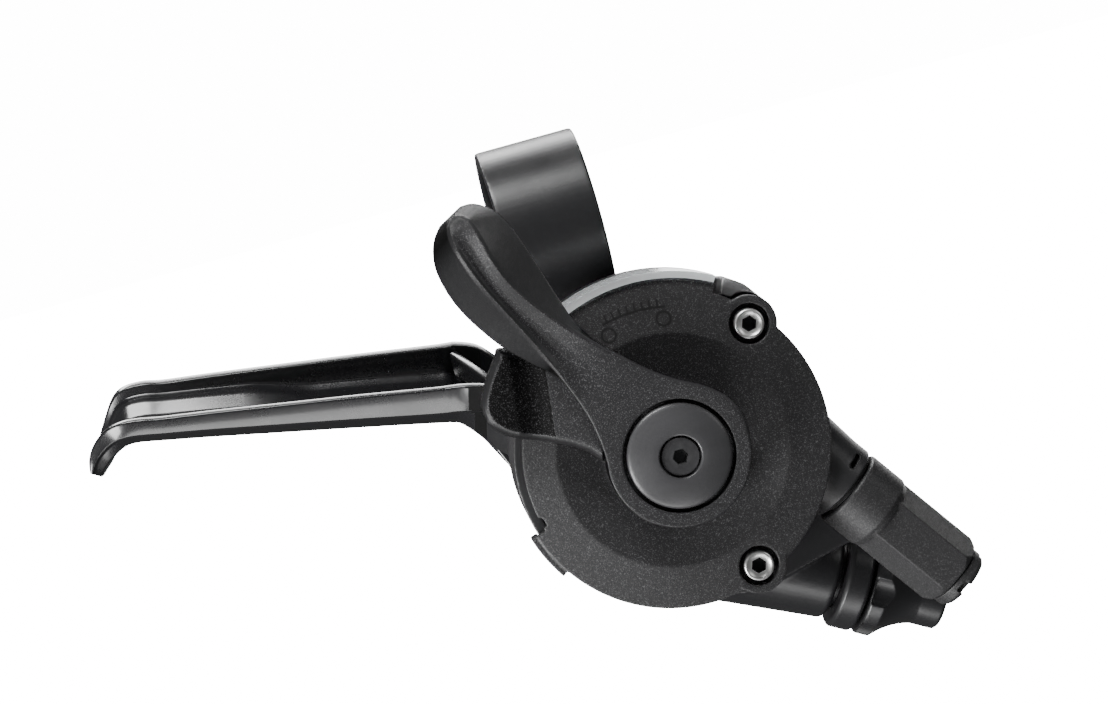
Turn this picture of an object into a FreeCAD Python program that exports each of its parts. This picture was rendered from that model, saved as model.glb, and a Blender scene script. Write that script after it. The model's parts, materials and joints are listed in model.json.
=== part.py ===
import FreeCAD, Part
import math
import os
import re
import Sketcher
from FreeCAD import Placement, Rotation, Vector

# Left-hand brake lever and thumb shifter on one handlebar clamp.
# Row frame: +X along the handlebar towards the stem, -Y the face with the thumb levers, +Z from the
# shifter up to the clamp.  The origin is the middle of the clamp's bore.
# Nearly every piece is drawn in the "pod" frame: its origin is on the shifter's axis level with the
# bar, its x is the row's +X, its y is the row's +Z and its z runs forwards, out of the front cover.

os.makedirs("parts", exist_ok=True)
doc = FreeCAD.newDocument("thumb_shifter")

SIZES = {
    # clamp and bracket
    "bar_radius": 11.1, "hoop_wall": 2.5, "hoop_width": 15.0, "slit_gap": 1.4,
    "pod_right": 7.3, "pod_drop": 34.2,
    "ear_depth": 16.0, "lever_slot": 10.6, "seat_front": 12.9, "clamp_bolt_radius": 2.5,
    "pivot_across": -5.0, "pivot_up": 3.5, "pivot_radius": 3.0,
    "anchor_across": -13.5, "anchor_up": -8.95, "anchor_radius": 4.0,
    # shifter housing, measured forwards from the bar's axis
    "pod_radius": 22.8, "pod_back": 13.0, "pod_floor": 15.2, "pod_front": 25.0, "pod_wall": 1.8,
    "cover_radius": 23.05, "cover_front": 27.4, "crease_radius": 16.8, "dish_front": 26.4,
    "cover_cut_radius": 21.6, "tab_radius": 24.0,
    "lens_inner": 24.6, "lens_outer": 25.6, "lens_back": 17.8, "lens_front": 26.5,
    "lens_start": 61.0, "lens_end": 122.0,
    "screw_circle": 21.05, "screw_upper_angle": 43.3, "screw_lower_angle": -68.8,
    "lug_radius": 4.1, "lug_back": 23.4, "counterbore_radius": 2.95, "counterbore_floor": 24.4,
    # axle stack
    "axle_radius": 2.5, "axle_front": 33.4, "sleeve_radius": 4.2, "tube_radius": 6.0,
    "running_gap": 0.08, "hub_radius": 10.2, "hub_back": 30.7, "hub_front": 34.4,
    "cap_radius": 7.45, "cap_recess_radius": 8.0, "cap_recess_floor": 33.2, "cap_front": 35.7,
    "release_back": 28.3, "release_hub_front": 30.4, "release_front": 31.6,
    "arm_back": 32.0, "arm_front": 34.4, "arm_angle": 118.5, "pad_front": 40.0,
    # mechanism
    "plate_thick": 1.2, "spool_back": 16.6, "spool_front": 20.6, "spool_radius": 12.8,
    "cable_circle": 11.76, "cable_height": 18.4, "ratchet_radius": 12.2, "ratchet_front": 21.8,
    "carrier_back": 22.0, "carrier_front": 23.0, "cam_front": 24.4, "pawl_pin_radius": 1.3,
    # gear cable adjuster, measured along its axis from the foot of the shifter's radius
    "gear_angle": -54.6, "nose_radius": 5.95, "nose_end": 24.3, "knob_start": 24.9,
    "knob_radius": 5.95, "hex_start": 31.4, "hex_across_flats": 9.9, "hex_end": 45.4, "hex_turn": 34.0,
    "seat_radius": 4.2, "seat_end": 47.7, "gear_housing_radius": 2.1,
    # brake cable adjuster, measured along its axis from the end of the bracket's barrel
    "brake_angle": -30.4, "barrel_end_across": 21.1, "barrel_end_up": -29.25,
    "barrel_end_radius": 7.0, "barrel_root_radius": 8.6, "barrel_length": 19.8,
    "stud_radius": 4.9, "ring_radius": 7.9, "ring_start": 0.8, "ring_end": 4.7,
    "head_start": 5.2, "head_radius": 7.9, "head_neck_radius": 4.4, "head_end": 17.7,
    "brake_housing_radius": 2.65,
}

sheet = doc.addObject("Spreadsheet::Sheet", "sizes")
for row, (alias, value) in enumerate(SIZES.items(), start=1):
    sheet.set(f"A{row}", alias)
    sheet.set(f"B{row}", str(value))
    sheet.setAlias(f"B{row}", alias)
doc.recompute()


def size(alias):
    """The number held by one cell of the sheet."""
    return float(sheet.get(alias))


def cell(text):
    """An expression with each size's alias written as a reference to the sheet."""
    return re.sub(r"[a-z_]+[a-z]", lambda found: f"sizes.{found.group()}", text)


def polar(radius, degrees, centre=(0.0, 0.0)):
    angle = math.radians(degrees)
    return (centre[0] + radius * math.cos(angle), centre[1] + radius * math.sin(angle))


def turned_frame(origin, direction):
    """A placement whose z runs along direction."""
    return Placement(Vector(*origin), Rotation(Vector(0, 0, 1), Vector(*direction)))


POD = Placement(Vector(size("pod_right"), 0, -size("pod_drop")), Rotation(Vector(1, 0, 0), 90))
BAR = (-size("pod_right"), size("pod_drop"))
PIVOT = (size("pivot_across"), size("pivot_up"))
ANCHOR = (size("anchor_across"), size("anchor_up"))
SCREWS = [polar(size("screw_circle"), size("screw_upper_angle")),
          polar(size("screw_circle"), size("screw_lower_angle"))]
POD_SCREWS = [(9.0, 7.5), (9.0, -7.5)]

GEAR_DIRECTION = polar(1.0, size("gear_angle"))
GEAR_FOOT = polar(size("cable_circle"), size("gear_angle") + 90.0)
GEAR = POD.multiply(turned_frame((GEAR_FOOT[0], GEAR_FOOT[1], size("cable_height")),
                                 (GEAR_DIRECTION[0], GEAR_DIRECTION[1], 0)))
BRAKE_DIRECTION = polar(1.0, size("brake_angle"))
BARREL_END = (size("barrel_end_across"), size("barrel_end_up"))
BRAKE = POD.multiply(turned_frame((BARREL_END[0], BARREL_END[1], 0),
                                  (BRAKE_DIRECTION[0], BRAKE_DIRECTION[1], 0)))

PIECES = []


# ---------------------------------------------------------------- drawing helpers

def new_body(name, placement=POD):
    body = doc.addObject("PartDesign::Body", name)
    body.Label = name
    body.Placement = placement
    PIECES.append(body)
    return body


def new_sketch(body, name, role="XY_Plane", height=None):
    """A sketch on one of the body's origin planes, raised by an expression along its normal."""
    sketch = body.newObject("Sketcher::SketchObject", f"{body.Name}_{name}")
    plane = [item for item in body.Origin.OriginFeatures if item.Role == role][0]
    sketch.AttachmentSupport = [(plane, "")]
    sketch.MapMode = "FlatFace"
    if height:
        sketch.setExpression("AttachmentOffset.Base.z", cell(height))
    return sketch


def draw_circle(sketch, centre, radius):
    index = sketch.addGeometry(Part.Circle(Vector(*centre, 0), Vector(0, 0, 1), 1.0), False)
    constraint = sketch.addConstraint(Sketcher.Constraint("Radius", index, 1.0))
    sketch.setExpression(f"Constraints[{constraint}]", cell(radius))


def draw_outline(sketch, points):
    """A closed outline of straight sides; a point with a third number is a bulge half way along
    the side that starts there, as a distance to the side's right."""
    for number, point in enumerate(points):
        following = points[(number + 1) % len(points)]
        start, end = Vector(point[0], point[1], 0), Vector(following[0], following[1], 0)
        if len(point) == 3:
            side = (end - start).normalize()
            middle = (start + end) * 0.5 + Vector(side.y, -side.x, 0) * point[2]
            sketch.addGeometry(Part.Arc(start, middle, end), False)
        else:
            sketch.addGeometry(Part.LineSegment(start, end), False)


def ring_sector(inner, outer, start, end):
    """The outline of a piece of a flat ring, as arcs, in degrees."""
    half = math.radians(end - start) / 2
    inner_bulge, outer_bulge = inner * (1 - math.cos(half)), outer * (1 - math.cos(half))
    return [polar(inner, start), polar(outer, start) + (outer_bulge,), polar(outer, end),
            polar(inner, end) + (-inner_bulge,)]


def extrude(body, sketch, length, cut=False):
    kind = "PartDesign::Pocket" if cut else "PartDesign::Pad"
    feature = body.newObject(kind, f"{sketch.Name}_{'cut' if cut else 'pad'}")
    feature.Profile = sketch
    feature.setExpression("Length", cell(length))
    feature.Reversed = cut
    body.Tip = feature
    return feature


def disc(body, name, centre, radius, start, length, cut=False):
    sketch = new_sketch(body, name, height=start)
    draw_circle(sketch, centre, radius)
    return extrude(body, sketch, length, cut)


def slab(body, name, points, start, length, cut=False):
    sketch = new_sketch(body, name, height=start)
    draw_outline(sketch, points)
    return extrude(body, sketch, length, cut)


def turn(body, name, profile, cut=False):
    """A revolution about the body's z axis of a profile of (radius, height) points."""
    sketch = new_sketch(body, name, role="XZ_Plane")
    draw_outline(sketch, profile)
    kind = "PartDesign::Groove" if cut else "PartDesign::Revolution"
    feature = body.newObject(kind, f"{sketch.Name}_turned")
    feature.Profile = sketch
    feature.ReferenceAxis = (sketch, ["V_Axis"])
    feature.Angle = 360
    body.Tip = feature
    return feature


def turn_about(body, name, origin, direction, height, profile, cut=False):
    """A revolution about a line in the plane at the given height: profile is (along, radius)."""
    across = (-direction[1], direction[0])
    sketch = new_sketch(body, name, height=height)
    points = [(origin[0] + direction[0] * along + across[0] * radius,
               origin[1] + direction[1] * along + across[1] * radius) for along, radius in profile]
    draw_outline(sketch, points)
    far = (origin[0] + direction[0], origin[1] + direction[1])
    sketch.addGeometry(Part.LineSegment(Vector(*origin, 0), Vector(*far, 0)), True)
    kind = "PartDesign::Groove" if cut else "PartDesign::Revolution"
    feature = body.newObject(kind, f"{sketch.Name}_turned")
    feature.Profile = sketch
    feature.ReferenceAxis = (sketch, ["Axis0"])
    feature.Angle = 360
    body.Tip = feature
    return feature


def hexagon(across_flats, turned=0.0):
    return [polar(across_flats / math.sqrt(3), turned + 60 * k) for k in range(6)]


def shape_piece(name, shape, placement=POD):
    piece = doc.addObject("Part::Feature", name)
    piece.Shape = shape
    piece.Placement = placement.multiply(shape.Placement)
    piece.Label = name
    PIECES.append(piece)
    return piece


# ---------------------------------------------------------------- bracket and clamp

def lever_bracket():
    """One casting: clamp hoop, two ears for the brake lever, cable barrel and shifter seat."""
    body = new_body("lever_bracket")
    hoop = new_sketch(body, "hoop", role="YZ_Plane", height="-pod_right - hoop_width / 2")
    draw_circle(hoop, (BAR[1], 0), "bar_radius + hoop_wall")
    extrude(body, hoop, "hoop_width")
    lugs = new_sketch(body, "lugs", role="YZ_Plane", height="-pod_right - 6")
    draw_outline(lugs, [(BAR[1] - 6.5, -8), (BAR[1] - 6.5, -20.5), (BAR[1] + 5.5, -20.5),
                        (BAR[1] + 5.5, -8)])
    extrude(body, lugs, "12")
    ears = [(-14.3, 27), (-14.3, 8), (-13.0, 0.5, 1.2), (-5, -5.6), (0.2, -10), (-0.2, -26.2),
            (9, -27), (24.4, -23.6), (25.6, -20.8), (17, -8), (15.5, 6), (9, 16), (0.2, 21.5), (0.2, 27)]
    slab(body, "ears", ears, "-ear_depth / 2", "ear_depth")
    seat = [(2.8, -13.5), (11.5, -13.5, 1.0), (12.3, 8), (9, 13.5), (2.8, 13.5)]
    slab(body, "seat", seat, "ear_depth / 2 - 1", "seat_front - ear_depth / 2 + 1")
    length, reach = size("barrel_length"), size("barrel_end_radius")
    turn_about(body, "barrel", BARREL_END, BRAKE_DIRECTION, "0",
               [(-length, 0), (-length, size("barrel_root_radius")), (-0.6, reach), (0, reach - 0.6),
                (0, 0)])
    bore = new_sketch(body, "bore", role="YZ_Plane", height="-pod_right - hoop_width")
    draw_circle(bore, (BAR[1], 0), "bar_radius")
    extrude(body, bore, "hoop_width * 2", cut=True)
    slit = new_sketch(body, "slit", role="YZ_Plane", height="-pod_right - hoop_width")
    half = size("slit_gap") / 2
    draw_outline(slit, [(BAR[1] - 0.5 - half, -5), (BAR[1] - 0.5 - half, -24),
                        (BAR[1] - 0.5 + half, -24), (BAR[1] - 0.5 + half, -5)])
    extrude(body, slit, "hoop_width * 2", cut=True)
    slot = [(-40, 30), (-14.3, 16.8), (-5, 12.4, -2.6), (3.4, 3.5, -0.6), (0.2, -9), (-0.4, -40),
            (-40, -40)]
    slab(body, "slot", slot, "-lever_slot / 2", "lever_slot", cut=True)
    disc(body, "pivot_hole", PIVOT, "pivot_radius + 0.02", "-12", "24", cut=True)
    turn_about(body, "stud_hole", BARREL_END, BRAKE_DIRECTION, "0",
               [(-12.5, 0), (-12.5, size("stud_radius") + 0.05), (1, size("stud_radius") + 0.05),
                (1, 0)], cut=True)
    turn_about(body, "cable_hole", BARREL_END, BRAKE_DIRECTION, "0",
               [(-40, 0), (-40, 1.6), (-11, 1.6), (-11, 0)], cut=True)
    bolt = new_sketch(body, "bolt_hole", role="XZ_Plane", height="-pod_drop - 10")
    draw_circle(bolt, (BAR[0], -16.4), "clamp_bolt_radius + 0.02")
    extrude(body, bolt, "20", cut=True)
    for number, spot in enumerate(POD_SCREWS):
        disc(body, f"screw_hole{number}", spot, "1.7", "seat_front - 8", "9", cut=True)
    return body


def clamp_bolt():
    """M5 socket screw that closes the hoop, its head under the lower lug."""
    top = size("pod_drop") + 5.0
    frame = POD.multiply(turned_frame((BAR[0], top, -16.4), (0, -1, 0)))
    body = new_body("clamp_bolt", frame)
    radius = size("clamp_bolt_radius")
    turn(body, "profile", [(0, 0), (radius - 0.5, 0), (radius, 0.5), (radius, 11.5), (4.25, 11.5),
                           (4.25, 16.0), (3.75, 16.5), (0, 16.5)])
    slab(body, "socket", hexagon(4.0), "13.5", "4", cut=True)
    return body


def socket_screw(x, y, head_radius, head_height, seat, length, radius, socket):
    """A cap screw pointing backwards, as a plain Part shape in the pod frame."""
    head = Part.makeCylinder(head_radius, head_height, Vector(x, y, seat))
    edge = [e for e in head.Edges if abs(e.BoundBox.ZMin - seat - head_height) < 1e-6
            and e.BoundBox.ZLength < 1e-6]
    head = head.makeFillet(0.3, edge)
    shank = Part.makeCylinder(radius, length, Vector(x, y, seat - length))
    corners = [Vector(x + px, y + py, seat + head_height) for px, py in hexagon(socket, 12)]
    hexagon_face = Part.Face(Part.makePolygon(corners + corners[:1]))
    return head.fuse(shank).cut(hexagon_face.extrude(Vector(0, 0, -head_height * 0.55)))


def pivot_bolt():
    """Shoulder bolt of the brake lever, head at the back."""
    frame = POD.multiply(turned_frame((PIVOT[0], PIVOT[1], 0), (0, 0, 1)))
    body = new_body("pivot_bolt", frame)
    back, radius = -size("ear_depth") / 2, size("pivot_radius")
    turn(body, "profile", [(0, back - 2.8), (3.9, back - 2.8), (4.5, back - 2.2), (4.5, back),
                           (radius, back), (radius, -back), (2.5, -back), (2.5, 12.2), (0, 12.2)])
    slab(body, "socket", hexagon(3.0), f"{back - 3.5}", "2.8", cut=True)
    return body


def pivot_nut():
    frame = POD.multiply(turned_frame((PIVOT[0], PIVOT[1], 0), (0, 0, 1)))
    body = new_body("pivot_nut", frame)
    slab(body, "nut", hexagon(8.0), "ear_depth / 2", "3.8")
    disc(body, "thread", (0, 0), "2.5", "ear_depth / 2 - 1", "6", cut=True)
    return body


# ---------------------------------------------------------------- brake lever

ROOT_ACROSS, TIP_ACROSS = -27.0, -73.0
BLADE_ROLL = math.radians(26)


def blade_section(across, up, heading, width, rib, plate, lip):
    """One U-shaped section of the finger blade: a plate with a rib along each side, rolled so that
    the hollow faces the bar and the front.  heading is the blade's own direction in degrees."""
    rib_thick = 1.6
    corners = [(0, 0), (0, plate), (lip, plate), (lip, plate + rib), (lip + rib_thick, plate + rib),
               (lip + rib_thick, plate), (width - lip - rib_thick, plate),
               (width - lip - rib_thick, plate + rib), (width - lip, plate + rib),
               (width - lip, plate), (width, plate), (width, 0)]
    normal = polar(1.0, heading - 90.0)
    points = []
    for along_plate, above in corners:
        rise = math.sin(BLADE_ROLL) * along_plate + math.cos(BLADE_ROLL) * above
        depth = 6.3 - math.cos(BLADE_ROLL) * along_plate + math.sin(BLADE_ROLL) * above
        points.append(Vector(across + normal[0] * rise, up + normal[1] * rise, depth))
    return Part.makePolygon(points + points[:1])


def brake_lever():
    """Finger blade of U section with a hooked tip, and a thick neck with pivot and cable eye."""
    sections = [blade_section(ROOT_ACROSS, 9.5, 168, 15.0, 3.8, 1.9, 1.0),
                blade_section(-50.0, 14.5, 168, 14.0, 2.9, 1.7, 1.0),
                blade_section(TIP_ACROSS, 19.5, 168, 13.0, 2.0, 1.5, 1.0)]
    blade = Part.makeLoft(sections, True, True)
    hook = []
    for heading, across, up, width, rib, plate in [(168, TIP_ACROSS, 19.5, 13.0, 2.0, 1.5),
                                                   (190, -76.8, 19.9, 12.6, 1.0, 2.0),
                                                   (215, -79.8, 18.8, 12.0, 0.4, 2.0),
                                                   (232, -81.6, 17.2, 11.2, 0.2, 1.5)]:
        hook.append(blade_section(across, up, heading, width, rib, plate, 1.0))
    tip = Part.makeLoft(hook, True, True)
    neck = Part.Wire([
        Part.makeLine(Vector(-28.4, 9.6, 0), Vector(-27.6, 18.5, 0)),
        Part.makeLine(Vector(-27.6, 18.5, 0), Vector(-23.5, 19.6, 0)),
        Part.makeLine(Vector(-23.5, 19.6, 0), Vector(-19.5, 17.0, 0)),
        Part.makeLine(Vector(-19.5, 17.0, 0), Vector(PIVOT[0] - 3.2, PIVOT[1] + 6.8, 0)),
        Part.Arc(Vector(PIVOT[0] - 3.2, PIVOT[1] + 6.8, 0), Vector(PIVOT[0] + 7.5, PIVOT[1], 0),
                 Vector(PIVOT[0] - 0.6, PIVOT[1] - 7.5, 0)).toShape(),
        Part.makeLine(Vector(PIVOT[0] - 0.6, PIVOT[1] - 7.5, 0), Vector(ANCHOR[0] + 5.9, ANCHOR[1] - 1.9, 0)),
        Part.Arc(Vector(ANCHOR[0] + 5.9, ANCHOR[1] - 1.9, 0), Vector(ANCHOR[0] - 1, ANCHOR[1] - 6.1, 0),
                 Vector(ANCHOR[0] - 6.1, ANCHOR[1] + 1, 0)).toShape(),
        Part.makeLine(Vector(ANCHOR[0] - 6.1, ANCHOR[1] + 1, 0), Vector(-22.6, 1.5, 0)),
        Part.Arc(Vector(-22.6, 1.5, 0), Vector(-24.6, 6.2, 0), Vector(-28.4, 9.6, 0)).toShape(),
    ])
    thick = size("lever_slot") / 2 - 0.4
    slab_solid = Part.Face(neck).extrude(Vector(0, 0, 2 * thick))
    slab_solid.translate(Vector(0, 0, -thick))
    lever = slab_solid.fuse(blade).fuse(tip)
    pivot_bore = Part.makeCylinder(4.6, 40, Vector(PIVOT[0], PIVOT[1], -20))
    anchor_bore = Part.makeCylinder(size("anchor_radius") + 0.06, 40, Vector(ANCHOR[0], ANCHOR[1], -20))
    lever = lever.cut(pivot_bore).cut(anchor_bore)
    return shape_piece("brake_lever", lever.removeSplitter())


def pivot_bushes():
    """Two flanged bushes pressed into the lever, turning on the shoulder bolt."""
    inner, outer = size("pivot_radius") + size("running_gap"), 4.6
    half = size("lever_slot") / 2 - 0.4
    bushes = []
    for side in (1, -1):
        sleeve = Part.makeCylinder(outer, 4.5, Vector(PIVOT[0], PIVOT[1], half * side),
                                   Vector(0, 0, -side))
        flange = Part.makeCylinder(6.2, 0.3, Vector(PIVOT[0], PIVOT[1], half * side),
                                   Vector(0, 0, side))
        bore = Part.makeCylinder(inner, 20, Vector(PIVOT[0], PIVOT[1], -10))
        bushes.append(sleeve.fuse(flange).cut(bore))
    return shape_piece("pivot_bushes", Part.makeCompound(bushes))


def cable_anchor():
    """Barrel that holds the brake cable's end and turns in the lever's eye."""
    frame = POD.multiply(turned_frame((ANCHOR[0], ANCHOR[1], 0), (0, 0, 1)))
    body = new_body("cable_anchor", frame)
    disc(body, "barrel", (0, 0), "anchor_radius", "-4.6", "9.2")
    disc(body, "end_pocket", (0, 0), "2.6", "-2.2", "8", cut=True)
    return body


# ---------------------------------------------------------------- shifter housing

def gear_patch(start, end, low, high):
    """A rectangle beside the gear cable's line: start to end along it, low to high across it."""
    across = (-GEAR_DIRECTION[1], GEAR_DIRECTION[0])
    return [(GEAR_FOOT[0] + GEAR_DIRECTION[0] * along + across[0] * aside,
             GEAR_FOOT[1] + GEAR_DIRECTION[1] * along + across[1] * aside)
            for along, aside in [(start, low), (end, low), (end, high), (start, high)]]


def rear_housing():
    """Cup that holds the mechanism, with the cable nose and the shelf under the window."""
    body = new_body("rear_housing")
    disc(body, "cup", (0, 0), "pod_radius", "pod_back", "pod_front - pod_back")
    start, end = size("lens_start") - 3, size("lens_end") + 3
    slab(body, "shelf", ring_sector(20.0, size("lens_outer"), start, end), "pod_back + 1",
         "lens_back - pod_back - 1")
    for number, spot in enumerate(SCREWS):
        disc(body, f"lug{number}", spot, "lug_radius + 0.3", "pod_back + 1", "lug_back - pod_back - 1")
    slab(body, "screw_shelf", ring_sector(19.5, 25.7, 41.0, 57.5), "pod_back + 1",
         "pod_front - pod_back - 1.3")
    nose = size("nose_radius")
    turn_about(body, "nose", GEAR_FOOT, GEAR_DIRECTION, "cable_height",
               [(14, 0), (14, nose + 0.5), (21.5, nose), (size("nose_end") - 0.2, nose),
                (size("nose_end"), nose - 0.2), (size("nose_end"), 0)])
    disc(body, "hollow", (0, 0), "pod_radius - pod_wall", "pod_floor", "20", cut=True)
    for number, spot in enumerate(SCREWS):
        disc(body, f"boss{number}", spot, "3.3", "pod_floor - 0.5", "lug_back - pod_floor + 0.5")
        disc(body, f"relief{number}", spot, "lug_radius + 0.25", "lug_back", "5", cut=True)
        disc(body, f"pilot{number}", spot, "1.22", "lug_back - 7", "9", cut=True)
    slab(body, "window", ring_sector(19.0, 24.3, start + 3, end - 3), "lens_back", "12", cut=True)
    turn_about(body, "nose_bore", GEAR_FOOT, GEAR_DIRECTION, "cable_height",
               [(12, 0), (12, size("seat_radius") + 0.1), (27, size("seat_radius") + 0.1), (27, 0)],
               cut=True)
    slab(body, "nose_slot", gear_patch(22.2, 22.9, 2.4, 4.6), "cable_height + 3.1", "4", cut=True)
    disc(body, "axle_hole", (0, 0), "axle_radius - 0.48", "10", "8", cut=True)
    for number, spot in enumerate(POD_SCREWS):
        disc(body, f"screw_hole{number}", spot, "2.1", "10", "8", cut=True)
        disc(body, f"screw_sink{number}", spot, "3.6", "pod_back + 0.9", "3", cut=True)
    return body


def pod_screws():
    """Two flat-head screws that fix the housing's floor to the bracket."""
    screws = []
    for x, y in POD_SCREWS:
        head = Part.makeCylinder(3.5, size("pod_floor") - size("pod_back") - 1.0,
                                 Vector(x, y, size("pod_back") + 0.9))
        shank = Part.makeCylinder(1.7, 7.6, Vector(x, y, size("pod_back") + 0.9 - 7.6))
        slot = Part.makeBox(5, 0.9, 2, Vector(x - 2.5, y - 0.45, size("pod_floor") - 0.7))
        screws.append(head.fuse(shank).cut(slot))
    return shape_piece("pod_screws", Part.makeCompound(screws))


def front_cover():
    """Cover that dips to its hub and falls away to its rim, with a clip tab and two screw lugs."""
    body = new_body("front_cover")
    front, dish, radius = size("cover_front"), size("dish_front"), size("cover_radius")
    back, hole = size("pod_front"), size("tube_radius") + size("running_gap")
    rim, crease = size("lens_inner") - 0.05, size("crease_radius")
    turn(body, "plate", [(hole, back), (hole, dish), (10.4, dish), (crease, front),
                         (rim - 0.3, front - 1.4), (rim, front - 1.7), (rim, back)])
    slab(body, "edge", ring_sector(radius, 30.0, size("lens_end") + 1, size("lens_start") + 359.0),
         "pod_front - 1", "5", cut=True)
    slab(body, "left_cut", ring_sector(size("cover_cut_radius"), 30.0, 140.0, 197.0),
         "pod_front - 1", "5", cut=True)
    slab(body, "tab", ring_sector(22.9, size("tab_radius"), 197.0, 214.0), "pod_front - 2", "3.0")
    slab(body, "tab_nick", [(-22.3, -3.9), (-20.6, -4.4), (-20.2, -5.6), (-22.2, -6.2)],
         "pod_front - 3", "6", cut=True)
    for number, spot in enumerate(SCREWS):
        disc(body, f"lug{number}", spot, "lug_radius", "lug_back", "3.0")
        disc(body, f"head{number}", spot, "counterbore_radius", "counterbore_floor", "5", cut=True)
        disc(body, f"shank{number}", spot, "1.35", "lug_back - 1", "5", cut=True)
    return body


def cover_screws():
    floor = size("counterbore_floor")
    screws = [socket_screw(x, y, 2.2, 2.4, floor, 7.4, 1.2, 2.0) for x, y in SCREWS]
    return shape_piece("cover_screws", Part.makeCompound(screws))


def indicator_lens():
    """Clear curved strip along the top rim."""
    body = new_body("indicator_lens")
    slab(body, "strip", ring_sector(size("lens_inner"), size("lens_outer"), size("lens_start"),
                                    size("lens_end")), "lens_back", "lens_front - lens_back")
    return body


# ---------------------------------------------------------------- thumb levers and hub

def arm_point(along, across, height):
    """A point of the shift lever's pad: along and across the arm's own direction."""
    ahead, aside = polar(along, size("arm_angle")), polar(across, size("arm_angle") - 90)
    return Vector(ahead[0] + aside[0], ahead[1] + aside[1], height)


def thumb_pad():
    """A ruled solid whose flanks lean in from a wide base to a narrow ridge."""
    low, high = size("arm_back"), size("pad_front")
    stations = [(24.0, -7.0, 2.4, -4.2, 0.6, high - 5.0), (31.5, -7.7, 3.9, -3.9, -0.1, high - 2.4),
                (37.5, -7.2, 5.0, -3.7, 0.2, high - 0.7), (42.0, -5.9, 5.4, -2.6, 1.2, high),
                (44.6, -4.0, 4.2, -1.8, 2.0, high - 0.6)]
    sections = []
    for along, base_left, base_right, top_left, top_right, top in stations:
        corners = [arm_point(along, base_left, low), arm_point(along, base_right, low),
                   arm_point(along, top_right, top), arm_point(along, top_left, top)]
        sections.append(Part.makePolygon(corners + corners[:1]))
    return Part.makeLoft(sections, True, True)


def shift_lever():
    """Upper thumb lever: round hub, curved arm and a tall ridged pad."""
    back, front = size("arm_back"), size("arm_front")
    hub = Part.makeCylinder(size("hub_radius"), front - size("hub_back"), Vector(0, 0, size("hub_back")))
    arm = Part.Wire([
        Part.Arc(Vector(9.2, 4.4, 0), Vector(2.8, 10.0, 0), Vector(-4.0, 15.6, 0)).toShape(),
        Part.Arc(Vector(-4.0, 15.6, 0), Vector(-7.9, 19.0, 0), Vector(-11.2, 23.2, 0)).toShape(),
        Part.makeLine(Vector(-11.2, 23.2, 0), Vector(-19.8, 22.6, 0)),
        Part.Arc(Vector(-19.8, 22.6, 0), Vector(-12.4, 12.9, 0), Vector(-9.9, 1.8, 0)).toShape(),
        Part.makeLine(Vector(-9.9, 1.8, 0), Vector(9.2, 4.4, 0)),
    ])
    arm_solid = Part.Face(arm).extrude(Vector(0, 0, front - back))
    arm_solid.translate(Vector(0, 0, back))
    lever = hub.fuse(arm_solid).fuse(thumb_pad())
    lever = lever.cut(Part.makeCylinder(size("sleeve_radius"), 20, Vector(0, 0, 20)))
    recess = Part.makeCylinder(size("cap_recess_radius"), 10, Vector(0, 0, size("cap_recess_floor")))
    return shape_piece("shift_lever", lever.cut(recess))


def release_lever():
    """Lower trigger: flat hub under the shift lever, and a pad that stands outside the housing."""
    back, hub_front, front = size("release_back"), size("release_hub_front"), size("release_front")
    hub = Part.makeCylinder(9.6, hub_front - back, Vector(0, 0, back))
    corners = [(-8.0, 0.4), (-10.0, 1.0), (-11.8, 3.4), (-14.2, 5.1), (-17.3, 6.6), (-21.4, 8.2),
               (-23.4, 9.7), (-24.6, 11.4), (-24.8, 13.9), (-23.6, 16.6), (-21.3, 19.8),
               (-19.9, 21.1), (-14.5, 17.8), (-4.6, 6.6)]
    points = [Vector(x, y, back) for x, y in corners]
    pad = Part.Face(Part.makePolygon(points + points[:1])).extrude(Vector(0, 0, front - back))
    trim = Part.makeCylinder(size("hub_radius") + 1.2, 10, Vector(0, 0, hub_front))
    tube = Part.makeCylinder(size("tube_radius"), back - 23.3 + 1, Vector(0, 0, 23.3))
    lever = hub.fuse(pad.cut(trim)).fuse(tube)
    bore = Part.makeCylinder(size("sleeve_radius") + size("running_gap"), 20, Vector(0, 0, 20))
    return shape_piece("release_lever", lever.cut(bore))


def drive_sleeve():
    body = new_body("drive_sleeve")
    inner = size("axle_radius") + size("running_gap")
    turn(body, "sleeve", [(inner, size("carrier_back")), (size("sleeve_radius"), size("carrier_back")),
                          (size("sleeve_radius"), size("cap_recess_floor")),
                          (inner, size("cap_recess_floor"))])
    return body


def axle():
    """Fixed stud: riveted end in the housing's floor, tapped front end for the cap's screw."""
    body = new_body("axle")
    rivet = size("axle_radius") - 0.5
    turn(body, "stud", [(0, size("pod_back") + 0.1), (rivet, size("pod_back") + 0.1),
                        (rivet, size("pod_floor")), (size("axle_radius"), size("pod_floor")),
                        (size("axle_radius"), size("axle_front")), (0, size("axle_front"))])
    disc(body, "thread", (0, 0), "1.5", "axle_front - 9", "10", cut=True)
    return body


def hub_cap():
    body = new_body("hub_cap")
    radius, floor, front = size("cap_radius"), size("axle_front"), size("cap_front")
    turn(body, "dome", [(1.6, floor), (1.6, floor + 0.5), (3.0, front - 0.7), (3.0, front - 0.1),
                        (3.3, front), (5.2, front - 0.15), (6.7, front - 0.5),
                        (radius - 0.2, front - 0.75), (radius, front - 1.0), (radius, floor)])
    return body


def hub_screw():
    body = new_body("hub_screw")
    floor, front = size("axle_front"), size("cap_front")
    turn(body, "screw", [(0, floor - 7.5), (1.45, floor - 7.5), (1.45, floor + 0.4),
                         (2.66, front - 0.75), (2.66, front - 0.45), (0, front - 0.45)])
    slab(body, "socket", hexagon(2.0), "cap_front - 1.6", "3", cut=True)
    return body


# ---------------------------------------------------------------- mechanism

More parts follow.
